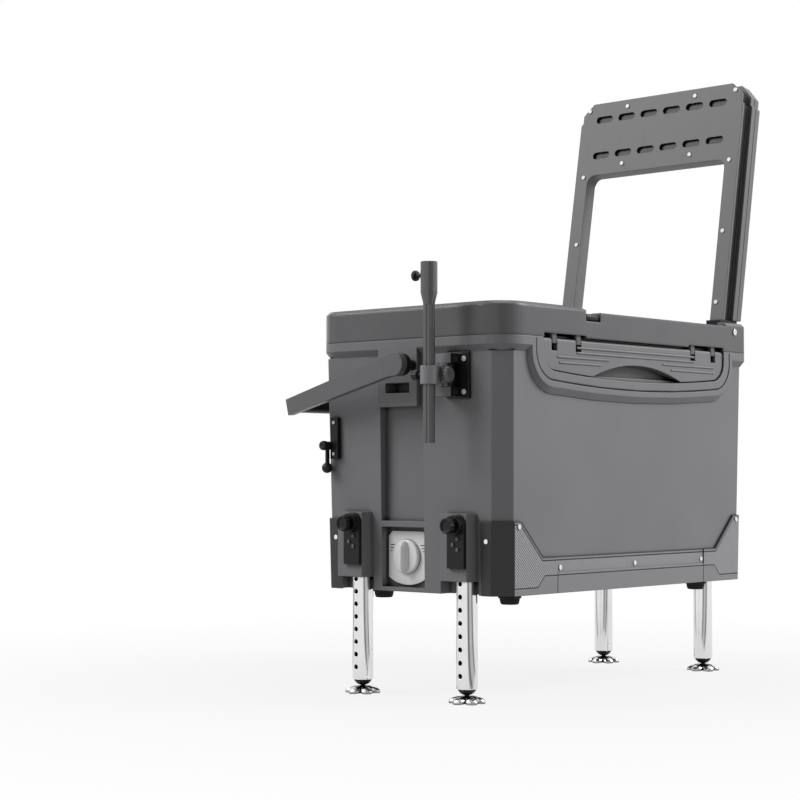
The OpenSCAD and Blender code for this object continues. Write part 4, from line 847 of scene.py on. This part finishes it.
class SEATBOX_OT_seat_mat(bpy.types.Operator):
    """The rubber seat mat: flat, with round edges and two sets of slanting grooves"""

    bl_idname = "seatbox.seat_mat"
    bl_label = "Seat mat"

    def execute(self, context):
        low, high = corners("seat_mat")
        count = 150
        groove_deep, groove_share, border_wide, round_wide = 0.9 * MM, 0.07, 10 * MM, 2 * MM
        x, y = np.meshgrid(np.linspace(0, 1, count), np.linspace(0, 1, count), indexing="ij")
        wide, deep = high[0] - low[0], high[1] - low[1]
        pitch = context.scene.seatbox_look.mat_pitch
        first = np.abs(((x * wide + y * deep) / pitch) % 1 - 0.5)
        second = np.abs(((x * wide - y * deep) / pitch) % 1 - 0.5)
        groove = np.clip(np.minimum(first, second) / groove_share, 0, 1)
        edge = np.minimum(np.minimum(x, 1 - x) * wide, np.minimum(y, 1 - y) * deep)
        border = np.clip((edge - border_wide) / round_wide, 0, 1)
        rounding = np.sqrt(np.clip(edge / round_wide, 0, 1))
        height = high[2] - groove_deep * (1 - groove) * border - round_wide * (1 - rounding)
        top = np.stack((low[0] + x * wide, low[1] + y * deep, height), axis=-1)
        base = top.copy()
        base[..., 2] = low[2]
        points = np.vstack((top.reshape(-1, 3), base.reshape(-1, 3)))
        i, j = np.meshgrid(np.arange(count - 1), np.arange(count - 1), indexing="ij")
        cell = (i * count + j).ravel()
        faces = np.stack((cell, cell + count, cell + count + 1, cell + 1), axis=-1)
        under = faces[:, ::-1] + count * count
        n = np.arange(count)
        rim = np.concatenate(
            (n * count, (count - 1) * count + n[1:], n[-2::-1] * count + count - 1, n[-2:0:-1])
        )
        turn = np.roll(rim, -1)
        walls = np.stack((rim, turn, turn + count * count, rim + count * count), axis=-1)
        mesh = bpy.data.meshes.new("mat_top")
        mesh.from_pydata(points.tolist(), [], np.vstack((faces, under, walls)).tolist())
        finished("mat_top", mesh, "rubber", "lid", ("seat_mat",), 50)
        return {"FINISHED"}


class SEATBOX_OT_studio(bpy.types.Operator):
    """Sets up the pale floor, the soft lamps and the photograph's camera"""

    bl_idname = "seatbox.studio"
    bl_label = "Studio and camera"

    def execute(self, context):
        look = context.scene.seatbox_look
        make_floor()
        make_world()
        make_lamps()
        make_camera(look)
        context.scene.view_settings.view_transform = "Standard"
        return {"FINISHED"}


def curtained(shading, x, y):
    """How dark a reflection is in the direction x, y: the studio's black curtains.

    A grey one with black edges hangs from the heading 223 to 271 degrees, from +X towards +Y,
    and a dark one at 104. They draw upright lines on bright metal. Each band has a middle
    heading, half a width in degrees and a depth of shade.
    """
    bands = ((247, 24, 0.42), (228, 7, 0.5), (268, 7, 0.5), (104, 9, 0.6))
    heading = shading.maths("ARCTAN2", -1 * y, -1 * x) * (180 / math.pi) + 180
    dark = 0
    for centre, half, depth in bands:
        away = abs(heading - centre)
        dark = dark + depth * (1 - shading.ramp(away, low=half * 0.6, high=half * 1.3))
    rays = shading.node("ShaderNodeLightPath").socket.node.outputs
    return dark * Value(shading, rays["Is Glossy Ray"])


def make_floor():
    """A wide pale sheet under the feet, which the camera sees whiten with distance."""
    half, least = 14.0, 0.86
    mesh = bpy.data.meshes.new("floor")
    ring = [(-half, -half, 0), (half, -half, 0), (half, half, 0), (-half, half, 0)]
    mesh.from_pydata(ring, [], [(0, 1, 2, 3)])
    floor = bpy.data.objects.new("floor", mesh)
    bpy.context.collection.objects.link(floor)
    finish = Finish("floor_sheet", Roughness=0.9)
    finish.set(Base_Color=tone(160))
    x, y, _ = finish.axes()
    distance = finish.maths("SQRT", x * x + y * y)
    bright = 1 - curtained(finish, x, y) * finish.ramp(distance, low=0.3, high=0.4)
    white = finish.blend(bright, (0, 0, 0, 1), (1, 1, 1, 1))
    glow = finish.node("ShaderNodeEmission", None, {"Color": white, "Strength": 1.0})
    share = finish.seen() * (least + (1 - least) * finish.ramp(distance, low=0.3, high=1.1))
    lit = Value(finish, finish.shader.outputs[0])
    mixed = finish.node("ShaderNodeMixShader", None, {0: share, 1: lit, 2: glow})
    finish.feed(finish.tree.nodes["Material Output"].inputs["Surface"], mixed)
    floor.data.materials.append(finish.material)


def make_world():
    """A pale room: white to the camera, curtained in reflections, and softer as a light."""
    world = bpy.data.worlds.new("studio")
    bpy.context.scene.world = world
    world.use_nodes = True
    room = Shading(world.node_tree)
    background = world.node_tree.nodes["Background"]
    background.inputs["Color"].default_value = (1, 1, 1, 1)
    x, y, _ = room.parts(room.node("ShaderNodeTexCoord", output="Generated"))
    seen = room.seen()
    strength = seen * (1 - curtained(room, x, y)) + (1 - seen) * 0.3
    room.feed(background.inputs["Strength"], strength)


def make_lamps():
    """Three large soft lamps: over the right of the front, behind the left end, and overhead."""
    # Each lamp's name, its place and its width in metres, and its watts
    lamps = (
        ("front_lamp", (2.2, -2.55, 2.8), 2.0, 178),
        ("rear_lamp", (-2.4, 2.2, 2.8), 2.0, 100),
        ("top_lamp", (0.3, 0.2, 3.6), 1.6, 18),
    )
    aimed_at = Vector((0, 0, 0.35))
    for name, spot, size, power in lamps:
        light = bpy.data.lights.new(name, "AREA")
        light.size = size
        light.energy = power
        lamp = bpy.data.objects.new(name, light)
        lamp.location = spot
        aim = aimed_at - Vector(spot)
        lamp.rotation_euler = aim.to_track_quat("-Z", "Y").to_euler()
        bpy.context.collection.objects.link(lamp)


def make_camera(look):
    """The photograph's camera: its place, heading, tilt and lens."""
    data = bpy.data.cameras.new("photo_camera")
    data.sensor_width = 36
    data.lens = look.camera_lens
    camera = bpy.data.objects.new("photo_camera", data)
    camera.location = look.camera_place
    camera.rotation_euler = (math.pi / 2 + look.camera_tilt, 0, look.camera_heading - math.pi / 2)
    bpy.context.collection.objects.link(camera)
    bpy.context.scene.camera = camera


class SEATBOX_PG_look(bpy.types.PropertyGroup):
    """The colours, patterns and camera values that a user may change"""

    shell_grey: bpy.props.IntProperty(
        name="Shell grey", description="Display grey of the case, 0 to 255", default=118,
        min=0, max=255, subtype="UNSIGNED",
    )
    lid_grey: bpy.props.IntProperty(
        name="Lid grey", description="Display grey of the lid, 0 to 255", default=98,
        min=0, max=255, subtype="UNSIGNED",
    )
    backrest_grey: bpy.props.IntProperty(
        name="Backrest grey", description="Display grey of the backrest, 0 to 255", default=104,
        min=0, max=255, subtype="UNSIGNED",
    )
    guard_grey: bpy.props.IntProperty(
        name="Guard grey", description="Display grey of the corner guards, 0 to 255", default=138,
        min=0, max=255, subtype="UNSIGNED",
    )
    bail_grey: bpy.props.IntProperty(
        name="Bail grey", description="Display grey of the bail's arms, 0 to 255", default=104,
        min=0, max=255, subtype="UNSIGNED",
    )
    pole_grey: bpy.props.IntProperty(
        name="Pole grey", description="Display grey of the accessory pole, 0 to 255", default=74,
        min=0, max=255, subtype="UNSIGNED",
    )
    fittings_grey: bpy.props.IntProperty(
        name="Fittings grey", description="Display grey of knobs, caps and brackets, 0 to 255",
        default=26, min=0, max=255, subtype="UNSIGNED",
    )
    rib_pitch: bpy.props.FloatProperty(
        name="Rib pitch", description="Distance between the ribs of the corner guards",
        default=0.0038, min=0.001, subtype="DISTANCE", unit="LENGTH",
    )
    mat_pitch: bpy.props.FloatProperty(
        name="Mat pitch", description="Distance between the seat mat's grooves",
        default=0.017, min=0.005, subtype="DISTANCE", unit="LENGTH",
    )
    backrest_lean: bpy.props.FloatProperty(
        name="Backrest lean", description="How far the open backrest leans back",
        default=math.radians(10.2), subtype="ANGLE", unit="ROTATION",
    )
    camera_place: bpy.props.FloatVectorProperty(
        name="Camera place", description="Where the camera stands", size=3,
        default=(-1.9537, -1.51115, 0.265), subtype="TRANSLATION", unit="LENGTH",
    )
    camera_heading: bpy.props.FloatProperty(
        name="Camera heading", description="Direction of view, from +X towards +Y",
        default=math.radians(41.71), subtype="ANGLE", unit="ROTATION",
    )
    camera_tilt: bpy.props.FloatProperty(
        name="Camera tilt", description="How far the view points up",
        default=0.037, subtype="ANGLE", unit="ROTATION",
    )
    camera_lens: bpy.props.FloatProperty(
        name="Camera lens", description="Focal length on a 36 mm sensor, in millimetres",
        default=86.445, unit="CAMERA",
    )


class SEATBOX_PT_panel(bpy.types.Panel):
    """Lists the steps that dress the seat box"""

    bl_idname = "SEATBOX_PT_panel"
    bl_label = "Seat Box"
    bl_space_type = "VIEW_3D"
    bl_region_type = "UI"
    bl_category = "Seat Box"

    def draw(self, context):
        for step in STEPS:
            self.layout.operator(step.bl_idname)


STEPS = (
    SEATBOX_OT_finishes, SEATBOX_OT_claw_feet, SEATBOX_OT_knobs, SEATBOX_OT_pole, SEATBOX_OT_drain,
    SEATBOX_OT_latch_ribs, SEATBOX_OT_rubber_feet, SEATBOX_OT_seat_mat, SEATBOX_OT_studio,
)
CLASSES = (SEATBOX_PG_look, *STEPS, SEATBOX_PT_panel)


def register():
    """Makes the panel, its steps and its settings known to Blender."""
    for item in CLASSES:
        bpy.utils.register_class(item)
    bpy.types.Scene.seatbox_look = bpy.props.PointerProperty(type=SEATBOX_PG_look)


def unregister():
    """Undoes register."""
    del bpy.types.Scene.seatbox_look
    for item in reversed(CLASSES):
        bpy.utils.unregister_class(item)


def main():
    """Dresses the part step by step."""
    register()
    for step in STEPS:
        group, name = step.bl_idname.split(".")
        getattr(getattr(bpy.ops, group), name)()


if __name__ == "__main__":
    main()
